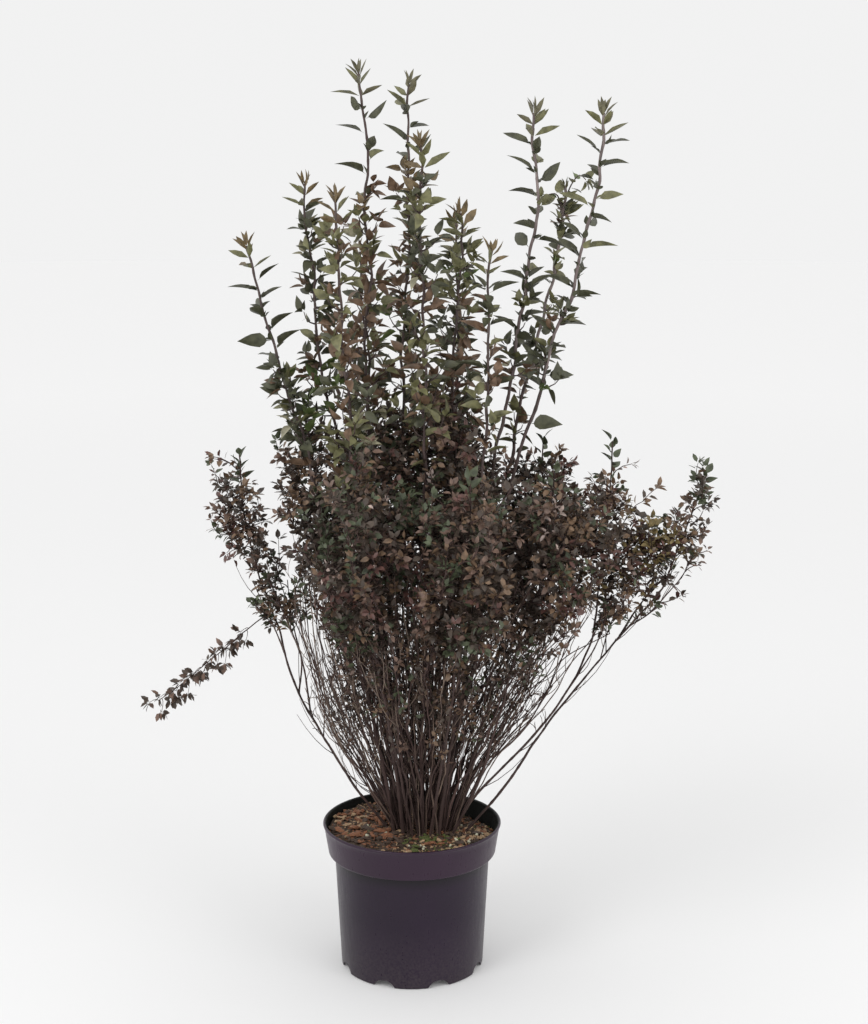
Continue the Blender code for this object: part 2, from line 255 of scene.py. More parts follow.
def middleLine(name, count, axis=2):
    # Smooth middle line of a limb or mass that runs along one axis, from its low end to its high end
    points = nodePoints(name)
    share = (points[:, axis] - points[:, axis].min()) / np.ptp(points[:, axis])
    degree = 4 if "leaves" not in name else 3
    fits = [np.polyfit(share, points[:, i], degree) for i in range(3)]
    shares = np.linspace(0, 1, count)
    return np.stack([np.polyval(fit, shares) for fit in fits], 1)


def treeOf(name):
    mesh = nodes[name].data
    mesh.calc_loop_triangles()
    return BVHTree.FromPolygons(
        [vertex.co for vertex in mesh.vertices], [triangle.vertices for triangle in mesh.loop_triangles]
    )


def inside(tree, point):
    place, normal, _, distance = tree.find_nearest(Vector(point))
    return (place - Vector(point)).dot(normal) > 0, distance


lowNames = [name[len("leaves_"):] for name in sorted(nodes)
            if name.startswith("leaves_") and "tall" not in name and "spray" not in name]
tallNames = [name[len("leaves_tall_"):] for name in sorted(nodes) if name.startswith("leaves_tall_")]
mixTree = treeOf("potting_mix")


def mixTop(x, y):
    hit = mixTree.ray_cast(Vector((x, y, 0.2)), Vector((0, 0, -1)))[0]
    return hit.z if hit else None


# Camera, lights and floor

view = {"place": (0.0238, -1.8736, 0.8641), "pitch": -11.02, "lens": 64.14}
# near and far are the floor's colour, darker near the middle as painted shade; glow is painted light from the floor
studio = {"world": 0.885, "near": 0.86, "far": 0.95, "glow": 0.045, "key": 20.0, "fill": 11.0}


def setStage():
    camera = bpy.data.cameras.new("camera")
    camera.lens = view["lens"]
    camera.sensor_width = 36
    eye = bpy.data.objects.new("camera", camera)
    eye.location = view["place"]
    eye.rotation_euler = (math.radians(90 + view["pitch"]), 0, 0)
    bpy.context.scene.collection.objects.link(eye)
    bpy.context.scene.camera = eye
    bpy.context.scene.view_settings.view_transform = "Standard"

    world = bpy.data.worlds.new("studio")
    world.use_nodes = True
    world.node_tree.nodes["Background"].inputs["Color"].default_value = (1.0, 1.0, 1.0, 1.0)
    world.node_tree.nodes["Background"].inputs["Strength"].default_value = studio["world"]
    bpy.context.scene.world = world

    for name, place, aim, size, power in (
        ("key", (-1.5, -1.7, 2.3), (0.0, 0.0, 0.5), 1.4, studio["key"]),
        ("fill", (1.8, -1.5, 1.6), (0.0, 0.0, 0.5), 1.6, studio["fill"]),
    ):
        lamp = bpy.data.lights.new(name, "AREA")
        lamp.shape = "DISK"
        lamp.size = size
        lamp.energy = power
        made = bpy.data.objects.new(name, lamp)
        made.location = place
        made.rotation_euler = (Vector(place) - Vector(aim)).to_track_quat("Z", "Y").to_euler()
        bpy.context.scene.collection.objects.link(made)

    bpy.ops.mesh.primitive_circle_add(vertices=96, radius=14, fill_type="NGON", location=(0, 0, -0.0005))
    floor = bpy.context.object
    floor.name = "floor"
    # The floor glows faintly, painted light that lifts it to the sky's brightness, and is darker near the middle,
    # where the lamps light it most: painted shade
    paper = Finish("floor paper", Roughness=0.9, Emission_Color=(1.0, 1.0, 1.0, 1.0),
                   Emission_Strength=studio["glow"])
    near, far = solid((studio["near"],) * 3), solid((studio["far"],) * 3)
    paper.set(Base_Color=paper.mix(paper.between(paper.distance(), 0.5, 5.0), near, far))
    floor.data.materials.append(paper.material)


# Pot

pot = {
    "height": 0.160, "rim": 0.096, "collar": 0.034, "collarFoot": 0.0905, "bodyTop": 0.0835, "foot": 0.077,
    "wall": 0.0018, "lip": 0.0016, "edge": 0.0032, "turns": 240, "arches": 8, "archWidth": 0.022,
    "archHeight": 0.0072, "base": 0.006, "body": (0.0132, 0.0050, 0.0172), "inner": (0.005, 0.006, 0.005),
    # The collar's colour is a lighter copy of the body's, painted light; after the dust comes the strength of the
    # painted shade under the collar
    "collarLit": (0.0270, 0.0105, 0.0270), "dust": (0.080, 0.066, 0.066), "collarShade": 0.70,
}


def arcPoints(centre, radius, start, end, steps):
    angles = np.radians(np.linspace(start, end, steps + 1))
    return [(centre[0] + radius * math.cos(a), centre[1] + radius * math.sin(a)) for a in angles]


def potWall():
    # The outside from the foot up to the lip, then the inside down to the base
    step = pot["height"] - pot["collar"]
    wall, lip, edge = pot["wall"], pot["lip"], pot["edge"]
    outside = [(pot["foot"] - wall, pot["base"]), (pot["foot"] - wall, 0.0004), (pot["foot"] - wall / 2, 0.0)]
    outside += arcPoints((pot["foot"] - 0.001, 0.001), 0.001, -60, 0, 3)
    for share in np.linspace(0.06, 0.96, 14):
        outside.append((pot["foot"] + (pot["bodyTop"] - pot["foot"]) * share, step * share))
    outside.append((pot["bodyTop"], step - 0.0015))
    outside += arcPoints((pot["bodyTop"] + 0.0015, step - 0.0015), 0.0015, 180, 90, 3)
    outside += arcPoints((pot["collarFoot"] - edge, step + edge), edge, -80, 0, 6)
    for share in np.linspace(0.15, 0.88, 6):
        height = step + edge + (pot["collar"] - edge) * share
        outside.append((pot["collarFoot"] + (pot["rim"] - lip * 0.4 - pot["collarFoot"]) * share, height))
    outside += arcPoints((pot["rim"] - lip, pot["height"] - lip), lip, -50, 200, 12)
    inner = [(pot["rim"] - 2 * lip + 0.0002, pot["height"] - 0.004)]
    inner += [(pot["collarFoot"] - wall, step + 0.004), (pot["bodyTop"] - wall, step + 0.001)]
    inner += [(pot["foot"] - wall + 0.0006, 0.0085), (0.0, 0.0085)]
    return outside, inner


def wallAt(height):
    # The inner radius of the pot
    inner = potWall()[1][3::-1]
    return np.interp(height, [z for _, z in inner], [radius for radius, _ in inner])


def plasticFinish(part):
    # Aubergine plastic, a little scratched, with dust towards the foot. The body is darker just under the collar,
    # painted shade, and the collar's colour is lighter, painted light
    plastic = Finish(f"aubergine plastic, {part}", Specular_IOR_Level=0.33)
    wide = plastic.noise(9.0, 2.0)
    fine = plastic.noise(420.0, 4.0)
    scratch = plastic.noise(60.0, 6.0, (9.0, 9.0, 0.6))
    dark, light = shades(pot[part], 0.82, 1.22)
    colour = plastic.ramp(wide, (0.3, dark), (0.7, light))
    dust = plastic.between(plastic.height(), 0.070, 0.0) * plastic.spread(fine, 0.0, 0.4)
    colour = plastic.mix(dust, colour, solid(pot["dust"]))
    step = pot["height"] - pot["collar"]
    # Darker just under the collar: painted shade from the collar's overhang
    collarShade = plastic.between(plastic.height(), step - 0.014, step - 0.001) * pot["collarShade"]
    if part == "body":
        colour = plastic.mix(collarShade, colour, solid((0.0, 0.0, 0.0)))
    rough = plastic.spread(scratch, 0.26, 0.42) + plastic.spread(fine, -0.03, 0.05)
    bump = plastic.bump(fine * 0.5 + scratch * 0.5, 0.10, 0.0004)
    return plastic.set(Base_Color=colour, Roughness=rough, Normal=bump)


def makePot():
    outside, inner = potWall()
    profile = np.array(outside + inner)
    turns = pot["turns"]
    angle = np.arange(turns) * math.tau / turns
    pitch = math.tau / pot["arches"]
    off = (angle % pitch) - pitch / 2
    reach = np.clip(1 - (off * pot["foot"] / (pot["archWidth"] / 2)) ** 2, 0, 1) ** 0.5
    lift = pot["archHeight"] * reach
    radius = profile[:, 0][:, None] * np.ones(turns)
    height = profile[:, 1][:, None] * np.ones(turns)
    outer = np.arange(len(profile)) < len(outside)
    low = outer[:, None] & (height < 0.0225) & (height < lift[None] + 0.004)
    share = np.clip(height / 0.0225, 0, 1)
    height = np.where(outer[:, None] & (height < 0.0225), lift[None] + (0.0225 - lift[None]) * share, height)
    points = np.stack([radius * np.cos(angle), radius * np.sin(angle), height], 2).reshape(-1, 3)
    step = pot["height"] - pot["collar"]
    faces, slots = [], []
    for i in range(len(profile) - 1):
        outerSlot = 1 if profile[i, 1] >= step - 0.0002 else 0
        for j in range(turns):
            k = (j + 1) % turns
            faces.append([i * turns + j, i * turns + k, (i + 1) * turns + k, (i + 1) * turns + j])
            slots.append(outerSlot if i < len(outside) - 6 else 2)
    base = [[j for j in range(turns)][::-1]]
    bunch = Bunch()
    bunch.add(points, faces)
    bunch.slots = slots
    bunch.faces += base
    bunch.slots.append(0)

    inner = Finish("dark inner plastic", Specular_IOR_Level=0.3)
    dark, light = shades(pot["inner"], 0.7, 1.6)
    inner.set(Base_Color=inner.ramp(inner.noise(70.0), (0.3, dark), (0.7, light)),
              Roughness=inner.spread(inner.noise(200.0), 0.45, 0.7))
    # The collar takes the lighter copy of the plastic: painted light
    made = bunch.piece("nursery_pot", [plasticFinish("body"), plasticFinish("collarLit"), inner.material])
    made.data.set_sharp_from_angle(angle=math.radians(40))
    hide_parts("pot")


# Potting mix

mix = {
    "reach": 0.0925, "rings": 34, "turns": 120, "chips": 1000, "chunks": 130, "shreds": 220, "crumbs": 700,
    "pellets": 26,
    "soil": (0.046, 0.029, 0.018), "red": (0.210, 0.087, 0.042), "tan": (0.360, 0.240, 0.140),
    "dark": (0.066, 0.041, 0.028), "moss": (0.085, 0.100, 0.025), "pale": (0.560, 0.540, 0.400),
}


def chipColour(x, y, rng):
    # Red bark at the left, tan chips at the back left and front right, moss by the stems at the front
    weights = {"red": 1.0, "tan": 0.55, "dark": 1.6, "moss": 0.10}
    if x < -0.015:
        weights["red"] += 2.4 if y > -0.045 else 0.9
        # More dark chips at the front left: painted shade under the rim
        weights["dark"] += 2.4 if y < 0.0 else 0.0
    if math.hypot(x + 0.031, y - 0.025) < 0.018:
        weights["red"] += 8.0
    if x < -0.045 and y > -0.01:
        weights["tan"] += 3.0
    if y < -0.055 and x > -0.050:
        weights["tan"] += 2.4
    if x > 0.035 and y < 0.02:
        weights["tan"] += 1.8
    if math.hypot(x - 0.022, y + 0.052) < 0.032:
        weights["moss"] += 2.6
    names = list(weights)
    share = np.array([weights[name] for name in names])
    return names[rng.choice(len(names), p=share / share.sum())]


def nugget(rng, size):
    # A rough lump: a coarse sphere, pulled about and flattened
    t = (1 + 5**0.5) / 2
    points = np.array([(-1, t, 0), (1, t, 0), (-1, -t, 0), (1, -t, 0), (0, -1, t), (0, 1, t), (0, -1, -t),
                       (0, 1, -t), (t, 0, -1), (t, 0, 1), (-t, 0, -1), (-t, 0, 1)], float)
    points = unit(points) * (1 + rng.uniform(-0.28, 0.28, (12, 1)))
    return points * np.asarray(size) / 2


nuggetFaces = [(0, 11, 5), (0, 5, 1), (0, 1, 7), (0, 7, 10), (0, 10, 11), (1, 5, 9), (5, 11, 4), (11, 10, 2),
               (10, 7, 6), (7, 1, 8), (3, 9, 4), (3, 4, 2), (3, 2, 6), (3, 6, 8), (3, 8, 9), (4, 9, 5),
               (2, 4, 11), (6, 2, 10), (8, 6, 7), (9, 8, 1)]


def turned(points, rng, tilt):
    turn = Euler((rng.uniform(-tilt, tilt), rng.uniform(-tilt, tilt), rng.uniform(0, math.tau))).to_matrix()
    return points @ np.array(turn).T


def makeMix():
    rng = np.random.default_rng(11)
    edge, rings, turns = mix["reach"], mix["rings"], mix["turns"]
    points = [(0.0, 0.0, mixTop(0, 0))]
    for i in range(1, rings + 1):
        for j in range(turns):
            angle = math.tau * (j + 0.5 * (i % 2)) / turns
            reach = edge * i / rings
            x, y = reach * math.cos(angle), reach * math.sin(angle)
            shrink = 1.0
            while mixTop(x * shrink, y * shrink) is None:
                shrink -= 0.01
            level = mixTop(x * shrink, y * shrink) if i < rings else mixTop(x * shrink, y * shrink) - 0.008
            lump = noise.noise(Vector((x, y, 0)) * 150) + 0.6 * noise.noise(Vector((x, y, 3)) * 420)
            inward = min(1.0, (wallAt(level) + 0.0006) / reach)
            points.append((x * inward, y * inward, level + 0.0012 * lump))
    faces = [(0, 1 + j, 1 + (j + 1) % turns) for j in range(turns)]
    for i in range(rings - 1):
        for j in range(turns):
            a, b = 1 + i * turns + j, 1 + i * turns + (j + 1) % turns
            faces.append((a, a + turns, b + turns))
            faces.append((a, b + turns, b))
    ground = Bunch()
    ground.add(np.array(points), faces)
    soil = Finish("damp mix")
    dark, light = shades(mix["soil"], 0.55, 1.9)
    grain = soil.noise(900.0, 5.0)
    soil.set(Base_Color=soil.ramp(grain, (0.3, dark), (0.68, light)),
             Roughness=soil.spread(soil.noise(120.0), 0.75, 0.95), Normal=soil.bump(grain, 0.5, 0.0008))
    made = ground.piece("mix_surface", [soil.material])
    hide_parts("potting_mix")

    kinds = ["red", "tan", "dark", "moss"]
    chips = Bunch()
    for i in range(mix["chips"] + mix["chunks"] + mix["shreds"] + mix["crumbs"]):
        reach = 0.0905 * rng.uniform() ** 0.5
        angle = rng.uniform(0, math.tau)
        x, y = reach * math.cos(angle), reach * math.sin(angle)
        top = mixTop(x, y)
        if top is None:
            continue
        if i < mix["chips"]:
            size = rng.uniform(0.0030, 0.0085) * np.array((1.0, rng.uniform(0.45, 0.8), rng.uniform(0.25, 0.5)))
        elif i < mix["chips"] + mix["chunks"]:
            size = rng.uniform(0.0090, 0.0170) * np.array((1.0, rng.uniform(0.35, 0.65), rng.uniform(0.2, 0.35)))
        elif i < mix["chips"] + mix["chunks"] + mix["shreds"]:
            size = np.array((rng.uniform(0.009, 0.020), rng.uniform(0.0012, 0.0026), rng.uniform(0.0007, 0.0014)))
        else:
            size = rng.uniform(0.0010, 0.0026, 3)
        room = wallAt(top) - reach
        if room < 0.0012:
            continue
        size[:2] *= min(1.0, room / (0.004 + 0.3 * size[0]))
        kind = chipColour(x, y, rng)
        place = np.array((x, y, top + size[2] * rng.uniform(0.15, 0.8)))
        chips.add(turned(nugget(rng, size), rng, 0.35) + place, nuggetFaces, kinds.index(kind))
    materials = []
    for kind in kinds:
        finish = Finish(f"{kind} bark chip")
        dark, light = shades(mix[kind], 0.45, 1.5)
        grain = finish.noise(520.0, 5.0, (1.0, 1.0, 3.0))
        finish.set(Base_Color=finish.ramp(grain, (0.28, dark), (0.72, light)),
                   Roughness=finish.spread(finish.noise(300.0), 0.65, 0.95),
                   Normal=finish.bump(grain, 0.5, 0.0006))
        materials.append(finish.material)
    made = chips.piece("bark_chips", materials, smooth=False)

    pellets = Bunch()
    for i in range(mix["pellets"]):
        reach, angle = 0.082 * rng.uniform() ** 0.5, rng.uniform(0, math.tau)
        if i < 14:
            reach, angle = rng.uniform(0.055, 0.086), math.radians(rng.uniform(-105, -25))
        x, y = reach * math.cos(angle), reach * math.sin(angle)
        size = rng.uniform(0.0022, 0.0046)
        place = np.array((x, y, mixTop(x, y) + size * 0.55))
        pellets.add(turned(nugget(rng, (size, size * 0.9, size * 0.8)), rng, 1.0) + place, nuggetFaces)
    stone = Finish("pale pellet")
    dark, light = shades(mix["pale"], 0.7, 1.15)
    stone.set(Base_Color=stone.ramp(stone.noise(500.0), (0.3, dark), (0.7, light)),
              Roughness=stone.spread(stone.noise(800.0), 0.5, 0.8))
    made = pellets.piece("pale_pellets", [stone.material])


# Canes

canes = {
    "lowRadius": 0.0015, "tallRadius": 0.0021, "tallTip": 0.0011, "outerTip": 0.0014, "tip": 0.0007,
    "spacing": 0.0045, "knot": 0.024, "knotSize": 0.22, "relief": 0.22, "sway": 0.004, "tallSway": 0.007,
    "depth": 0.004, "youngFrom": 0.50, "paleFrom": 0.64,
    "dark": (0.040, 0.025, 0.022), "red": (0.082, 0.048, 0.042), "tan": (0.160, 0.115, 0.088),
    "dry": (0.250, 0.190, 0.150), "mauve": (0.240, 0.200, 0.190), "rosy": (0.125, 0.088, 0.086),
    "dusk": (0.100, 0.076, 0.070), "dim": (0.070, 0.042, 0.040),
    "tipShift": {"far_left": (0.019, 0.0, -0.009)},
}

# The finer canes between the leaders: where they stand, how they leave their feet and arrive
# (sideways and up, as shares of the way), and how many run up into each low mass
clump = {
    "middle": (0.013, -0.004), "reach": (0.037, 0.032), "bias": 0.45, "radius": (0.0006, 0.0013), "sway": 0.012,
    "leave": (0.60, 1.25), "arrive": (1.45, 0.75), "barks": (0.50, 0.30, 0.20),
    "canes": {"far_left": 0, "left": 12, "left_front": 16, "left_back": 14, "front": 14, "back": 10, "heart": 15,
              "right_front": 10, "right_back": 8, "right": 8, "far_right": 0},
}

# Outer canes that stand apart from the clump: (x, y, height) along each. One that starts above the mix
# is a branch of the mass's own cane
outerCanes = {
    "far_left": (((-0.087, 0.008, 0.256), (-0.095, 0.014, 0.281), (-0.100, 0.018, 0.309), (-0.105, 0.020, 0.333),
                  (-0.118, 0.020, 0.361), (-0.129, 0.016, 0.388), (-0.142, 0.010, 0.430)),
                 ((-0.100, 0.006, 0.280), (-0.112, -0.004, 0.312), (-0.119, -0.010, 0.352), (-0.136, -0.012, 0.400),
                  (-0.152, -0.010, 0.440)),
                 ((-0.122, 0.010, 0.310), (-0.137, 0.020, 0.340), (-0.150, 0.024, 0.372), (-0.168, 0.020, 0.420)),
                 ((-0.114, 0.012, 0.300), (-0.118, 0.024, 0.335), (-0.128, 0.030, 0.372), (-0.134, 0.028, 0.420))),
    "left": (((-0.018, -0.010, 0.160), (-0.048, -0.016, 0.205), (-0.073, -0.020, 0.248), (-0.090, -0.022, 0.300),
              (-0.100, -0.022, 0.360), (-0.108, -0.020, 0.430)),
             ((-0.020, 0.014, 0.160), (-0.046, 0.024, 0.213), (-0.066, 0.030, 0.266), (-0.084, 0.030, 0.330),
              (-0.096, 0.028, 0.400)),
             ((-0.016, -0.018, 0.160), (-0.034, -0.028, 0.215), (-0.052, -0.034, 0.280), (-0.066, -0.036, 0.350))),
    "far_right": (((0.192, 0.008, 0.348), (0.213, 0.004, 0.384), (0.232, -0.004, 0.418), (0.246, -0.008, 0.450)),
                  ((0.197, 0.008, 0.355), (0.208, 0.016, 0.396), (0.214, 0.020, 0.440)),
                  ((0.212, 0.008, 0.368), (0.240, 0.018, 0.392), (0.266, 0.022, 0.424)),
                  ((0.226, 0.006, 0.376), (0.256, -0.006, 0.396), (0.284, -0.010, 0.430))),
    "right": (((0.044, -0.010, 0.156), (0.080, -0.014, 0.236), (0.134, -0.018, 0.300), (0.170, -0.020, 0.344),
               (0.196, -0.018, 0.380), (0.206, -0.010, 0.430)),
              ((0.044, 0.016, 0.156), (0.078, 0.020, 0.246), (0.128, 0.026, 0.312), (0.164, 0.028, 0.356),
               (0.186, 0.026, 0.400)),
              ((0.046, 0.004, 0.156), (0.074, 0.004, 0.250), (0.120, 0.006, 0.318), (0.152, 0.008, 0.362),
               (0.172, 0.006, 0.410)),
              ((0.040, -0.018, 0.156), (0.066, -0.028, 0.240), (0.104, -0.036, 0.310), (0.132, -0.038, 0.370)),
              ((0.168, -0.004, 0.304), (0.186, -0.012, 0.340), (0.200, -0.016, 0.372), (0.205, -0.016, 0.410))),
}

# Fans of thin canes that fill the space between an outermost route and the clump: both edges as
# (x, height) from the foot up, the number of canes, and how far they spread in depth
fans = {
    "left": {
        "outer": ((-0.020, 0.158), (-0.060, 0.220), (-0.088, 0.262), (-0.108, 0.312), (-0.122, 0.375),
                  (-0.126, 0.425)),
        "inner": ((0.000, 0.158), (-0.012, 0.225), (-0.026, 0.290), (-0.038, 0.350), (-0.046, 0.400),
                  (-0.050, 0.440)),
        "count": 23, "depth": 0.045,
    },
    "right": {
        "outer": ((0.046, 0.154), (0.086, 0.226), (0.130, 0.274), (0.162, 0.318), (0.184, 0.362), (0.196, 0.400)),
        "inner": ((0.034, 0.154), (0.050, 0.208), (0.064, 0.262), (0.078, 0.315), (0.090, 0.365), (0.100, 0.415)),
        "count": 20, "depth": 0.045,
    },
}

# Thin dead twigs on the canes below the leaves, thickest on the left
deadTwigs = {
    "count": 1700, "low": 0.19, "high": 0.42, "span": (0.018, 0.070), "radius": 0.00055, "barks": (0.30, 0.35, 0.35),
    "reach": 0.070, "climb": 0.55, "shortest": 0.012, "step": 0.012, "batch": 60,
}

# Where they stand close: (middle, reach, number)
deadPlaces = (((-0.058, -0.004, 0.308), (0.032, 0.050, 0.054), 640),
              ((-0.094, 0.006, 0.304), (0.026, 0.030, 0.048), 60),
              ((0.112, 0.000, 0.300), (0.040, 0.036, 0.040), 120))


def lengths(path):
    return np.concatenate([[0], np.cumsum(np.linalg.norm(np.diff(path, axis=0), axis=1))])


def directions(path):
    return unit(np.gradient(path, axis=0))


def knotted(path, radius, tip):
    # The radius along a cane: a taper with small swellings at its old leaf joints
    length = lengths(path)
    taper = radius + (tip - radius) * (length / length[-1]) ** 0.8
    ring = np.cos(length / canes["knot"] * math.tau) ** 12
    return taper * (1 + canes["knotSize"] * ring)


def sway(path, amount, rng):
    # Small bends, none at the foot
    seed = rng.uniform(0, 50)
    share = np.linspace(0, 1, len(path))
    out = path.copy()
    for i, point in enumerate(path):
        for axis in (0, 1):
            wander = noise.noise(Vector((point[2] * 13, seed, axis * 7.0)))
            wander += 0.35 * noise.noise(Vector((point[2] * 45, seed, axis * 7.0)))
            out[i, axis] += amount * wander * min(1.0, share[i] * 4)
    return out


def leaderPaths():
    # Each low mass: its cane and the middle of its leaves. Each tall shoot: cane, bough and plume
    rng = np.random.default_rng(3)
    low, tall = {}, {}
    for name in lowNames:
        below = middleLine(f"cane_{name}", 7)
        inner = middleLine(f"leaves_{name}", 6)[1:]
        if name in canes["tipShift"]:
            inner += np.linspace(0, 1, len(inner))[:, None] ** 1.5 * canes["tipShift"][name]
        low[name] = smoothPath(np.concatenate([below, inner]), canes["spacing"])
    for name in tallNames:
        below = middleLine(f"cane_tall_{name}", 7)
        inner = middleLine(f"leaves_tall_{name}", 7)[1:]
        path = smoothPath(np.concatenate([below, inner]), canes["spacing"])
        path = sway(path, canes["tallSway"], rng)
        tall[name] = path[path[:, 2] < path[-1, 2] - shoots["tuftHeight"]]
    return low, tall


def intoMix(path):
    # The foot goes on a little way into the mix
    return np.concatenate([[path[0] - up * canes["depth"]], path])


def arching(foot, target):
    # Leaves its foot nearly upright, and leans out on the way up
    chord = target - foot
    leaving = chord * (clump["leave"][0], clump["leave"][0], clump["leave"][1])
    arriving = chord * (clump["arrive"][0], clump["arrive"][0], clump["arrive"][1])
    t = np.linspace(0, 1, max(8, round(np.linalg.norm(chord) / canes["spacing"])))[:, None]
    return (foot * (2 * t**3 - 3 * t**2 + 1) + leaving * (t**3 - 2 * t**2 + t)
            + target * (3 * t**2 - 2 * t**3) + arriving * (t**3 - t**2))


def pointInside(tree, low, high, rng):
    while True:
        point = rng.uniform(low, high)
        if inside(tree, point)[0]:
            return point


def fineCane(name, tree, rng):
    # From the clump into the lower part of a mass
    low, high = (np.array(corner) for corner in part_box(f"leaves_{name}"))
    high[2] = low[2] + (high[2] - low[2]) * 0.6
    target = pointInside(tree, low, high, rng)
    away = target[:2] - clump["middle"]
    angle, share = rng.uniform(0, math.tau), rng.uniform() ** 0.5
    place = np.array((math.cos(angle), math.sin(angle))) * share * (1 - clump["bias"])
    place += away / (np.linalg.norm(away) + 0.05) * clump["bias"]
    foot = np.array((*(clump["middle"] + place * clump["reach"]), 0.0))
    foot[2] = mixTop(foot[0], foot[1])
    return sway(arching(foot, target), clump["sway"], rng)


def fanCane(fan, rng):
    outer, inner = (np.array(fan[edge]) for edge in ("outer", "inner"))
    route = outer + (inner - outer) * rng.uniform()
    side = fan["depth"] * rng.uniform(-1, 1)
    depth = side * np.linspace(0.3, 1, len(route))
    path = np.stack([route[:, 0], depth, route[:, 1]], 1)[:rng.integers(4, len(route) + 1)]
    path[0, 2] = mixTop(path[0, 0], path[0, 1])
    return sway(smoothPath(path, canes["spacing"]), canes["sway"] * 2, rng)


def barkFinish(name, low, high):
    # Rough bark, in patches redder and smoother
    finish = Finish(name, Specular_IOR_Level=0.3)
    grain = finish.noise(260.0, 5.0, (1.0, 1.0, 0.12))
    patch = finish.noise(34.0, 3.0, (1.0, 1.0, 0.4))
    dark, light = shades(low, 0.40, 1.6)
    colour = finish.ramp(grain, (0.3, dark), (0.7, light))
    colour = finish.mix(finish.spread(patch, 0.0, 0.8), colour, solid(high))
    return finish.set(Base_Color=colour, Roughness=finish.spread(grain, 0.50, 0.78),
                      Normal=finish.bump(grain, 0.6, 0.0005))


def makeCanes(low, tall):
    rng = np.random.default_rng(5)
    barks = {
        "dark": barkFinish("dark bark", canes["dark"], canes["red"]),
        "red": barkFinish("red bark", canes["red"], canes["dark"]),
        "tan": barkFinish("dry bark", canes["tan"], canes["red"]),
        "dry": barkFinish("dead bark", canes["dry"], canes["tan"]),
        "mauve": barkFinish("young bark", canes["mauve"], canes["rosy"]),
        "dusk": barkFinish("dusky bark", canes["dusk"], canes["dim"]),
    }
    main, fine, lines = Bunch(), Bunch(), {}
    for name, path in low.items():
        path = sway(path, canes["sway"], rng)
        lines[name] = [path]
        path = intoMix(path)
        tube(main, path, knotted(path, canes["lowRadius"], canes["tip"]), 8, 0, canes["relief"], rng.uniform(0, 90))
        tree = treeOf(f"leaves_{name}")
        lines[name] += [fineCane(name, tree, rng) for _ in range(clump["canes"][name])]
        for route in outerCanes.get(name, ()):
            if route[0][2] > pot["height"] + 0.01:
                root = lines[name][0][np.linalg.norm(lines[name][0] - route[0], axis=1).argmin()]
                route = [root, *route[1:]]
            lines[name].append(sway(smoothPath(route, canes["spacing"]), canes["sway"] * 0.7, rng))
        if name in fans:
            lines[name] += [fanCane(fans[name], rng) for _ in range(fans[name]["count"])]
        for path in lines[name][1:]:
            if path[0, 2] < pot["height"] + 0.005:
                path = intoMix(path)
            radii = knotted(path, rng.uniform(*clump["radius"]), canes["tip"] * 0.7)
            tube(fine, path, radii, 5, rng.choice(3, p=clump["barks"]), canes["relief"], rng.uniform(0, 90))
    for name, path in tall.items():
        path = intoMix(path)
        pale = name in paleShoots
        radii = knotted(path, canes["tallRadius"], canes["outerTip" if pale else "tallTip"])
        young = np.argmax(path[:, 2] > canes["youngFrom"])
        seed = rng.uniform(0, 90)
        end = np.argmax(path[:, 2] > canes["paleFrom"]) if pale else len(path) - 1
        tube(main, path[:young + 1], radii[:young + 1], 8, 0, canes["relief"], seed)
        tube(main, path[young:end + 1], radii[young:end + 1], 8, 2, canes["relief"], seed)
        if pale:
            tube(main, path[end:], radii[end:], 8, 1, canes["relief"], seed)
    replaced = [f"cane_{name}" for name in low] + [f"cane_tall_{name}" for name in tall]
    replaced += [name for name in nodes if name.startswith("bough_tall_")]
    made = main.piece("canes", [barks["dark"], barks["mauve"], barks["dusk"]])
    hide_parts(*replaced)
    made = fine.piece("fine_canes", [barks["dark"], barks["red"], barks["tan"]])
    made = growDeadTwigs(lines, rng).piece("dead_twigs", [barks["dry"], barks["tan"], barks["red"]])
    return lines, barks


def growDeadTwigs(lines, rng):
    paths = [path for group in lines.values() for path in group]
    bunch = Bunch()
    spots = np.concatenate(paths)
    ways = np.concatenate([directions(path) for path in paths])
    for middle, reach, count in deadPlaces:
        aims = middle + unit(rng.normal(0, 1, (count, 3))) * rng.uniform(0, 1, (count, 1)) ** 0.33 * reach
        for path, _ in growTwigs(spots, ways, aims, deadTwigs):
            slot = rng.choice(3, p=deadTwigs["barks"])
            tube(bunch, path, np.linspace(deadTwigs["radius"], deadTwigs["radius"] * 0.7, len(path)), 3, slot)
    placed = len(bunch.points)
    while len(bunch.points) < placed + deadTwigs["count"]:
        path = paths[rng.integers(len(paths))]
        i = rng.integers(1, len(path) - 1)
        base = path[i]
        if not deadTwigs["low"] < base[2] < deadTwigs["high"]:
            continue
        rare = 0.8 if base[0] < -0.115 else 0.3 if base[0] < -0.08 else 0.0 if base[0] < 0 else 0.45
        if rng.uniform() < (rare if base[0] < 0.13 else 0.65):
            continue
        way = unit(path[i + 1] - path[i - 1])
        out = unit(rng.normal(0, 1, 3) * (1, 1, 0.2))
        span = rng.uniform(*deadTwigs["span"])
        tip = base + (way * 0.8 + out * rng.uniform(0.10, 0.50) + up * 0.25) * span
        twig = bezier(base, base + (way * 0.3 + out * 0.30) * span, tip, 5)
        slot = rng.choice(3, p=deadTwigs["barks"])
        tube(bunch, twig, np.linspace(deadTwigs["radius"], deadTwigs["radius"] / 2, 5), 3, slot)
        if rng.uniform() < 0.6:
            fork = twig[3] + (unit(rng.normal(0, 1, 3) * (1, 1, 0.2)) * 0.35 + up * 0.7) * span * 0.45
            thin = np.full(4, deadTwigs["radius"] / 2)
            tube(bunch, bezier(twig[3], twig[3] + way * span * 0.1, fork, 4), thin, 3, slot)
    print("dead twigs", len(bunch.faces), "triangles")
    return bunch


# Leaves

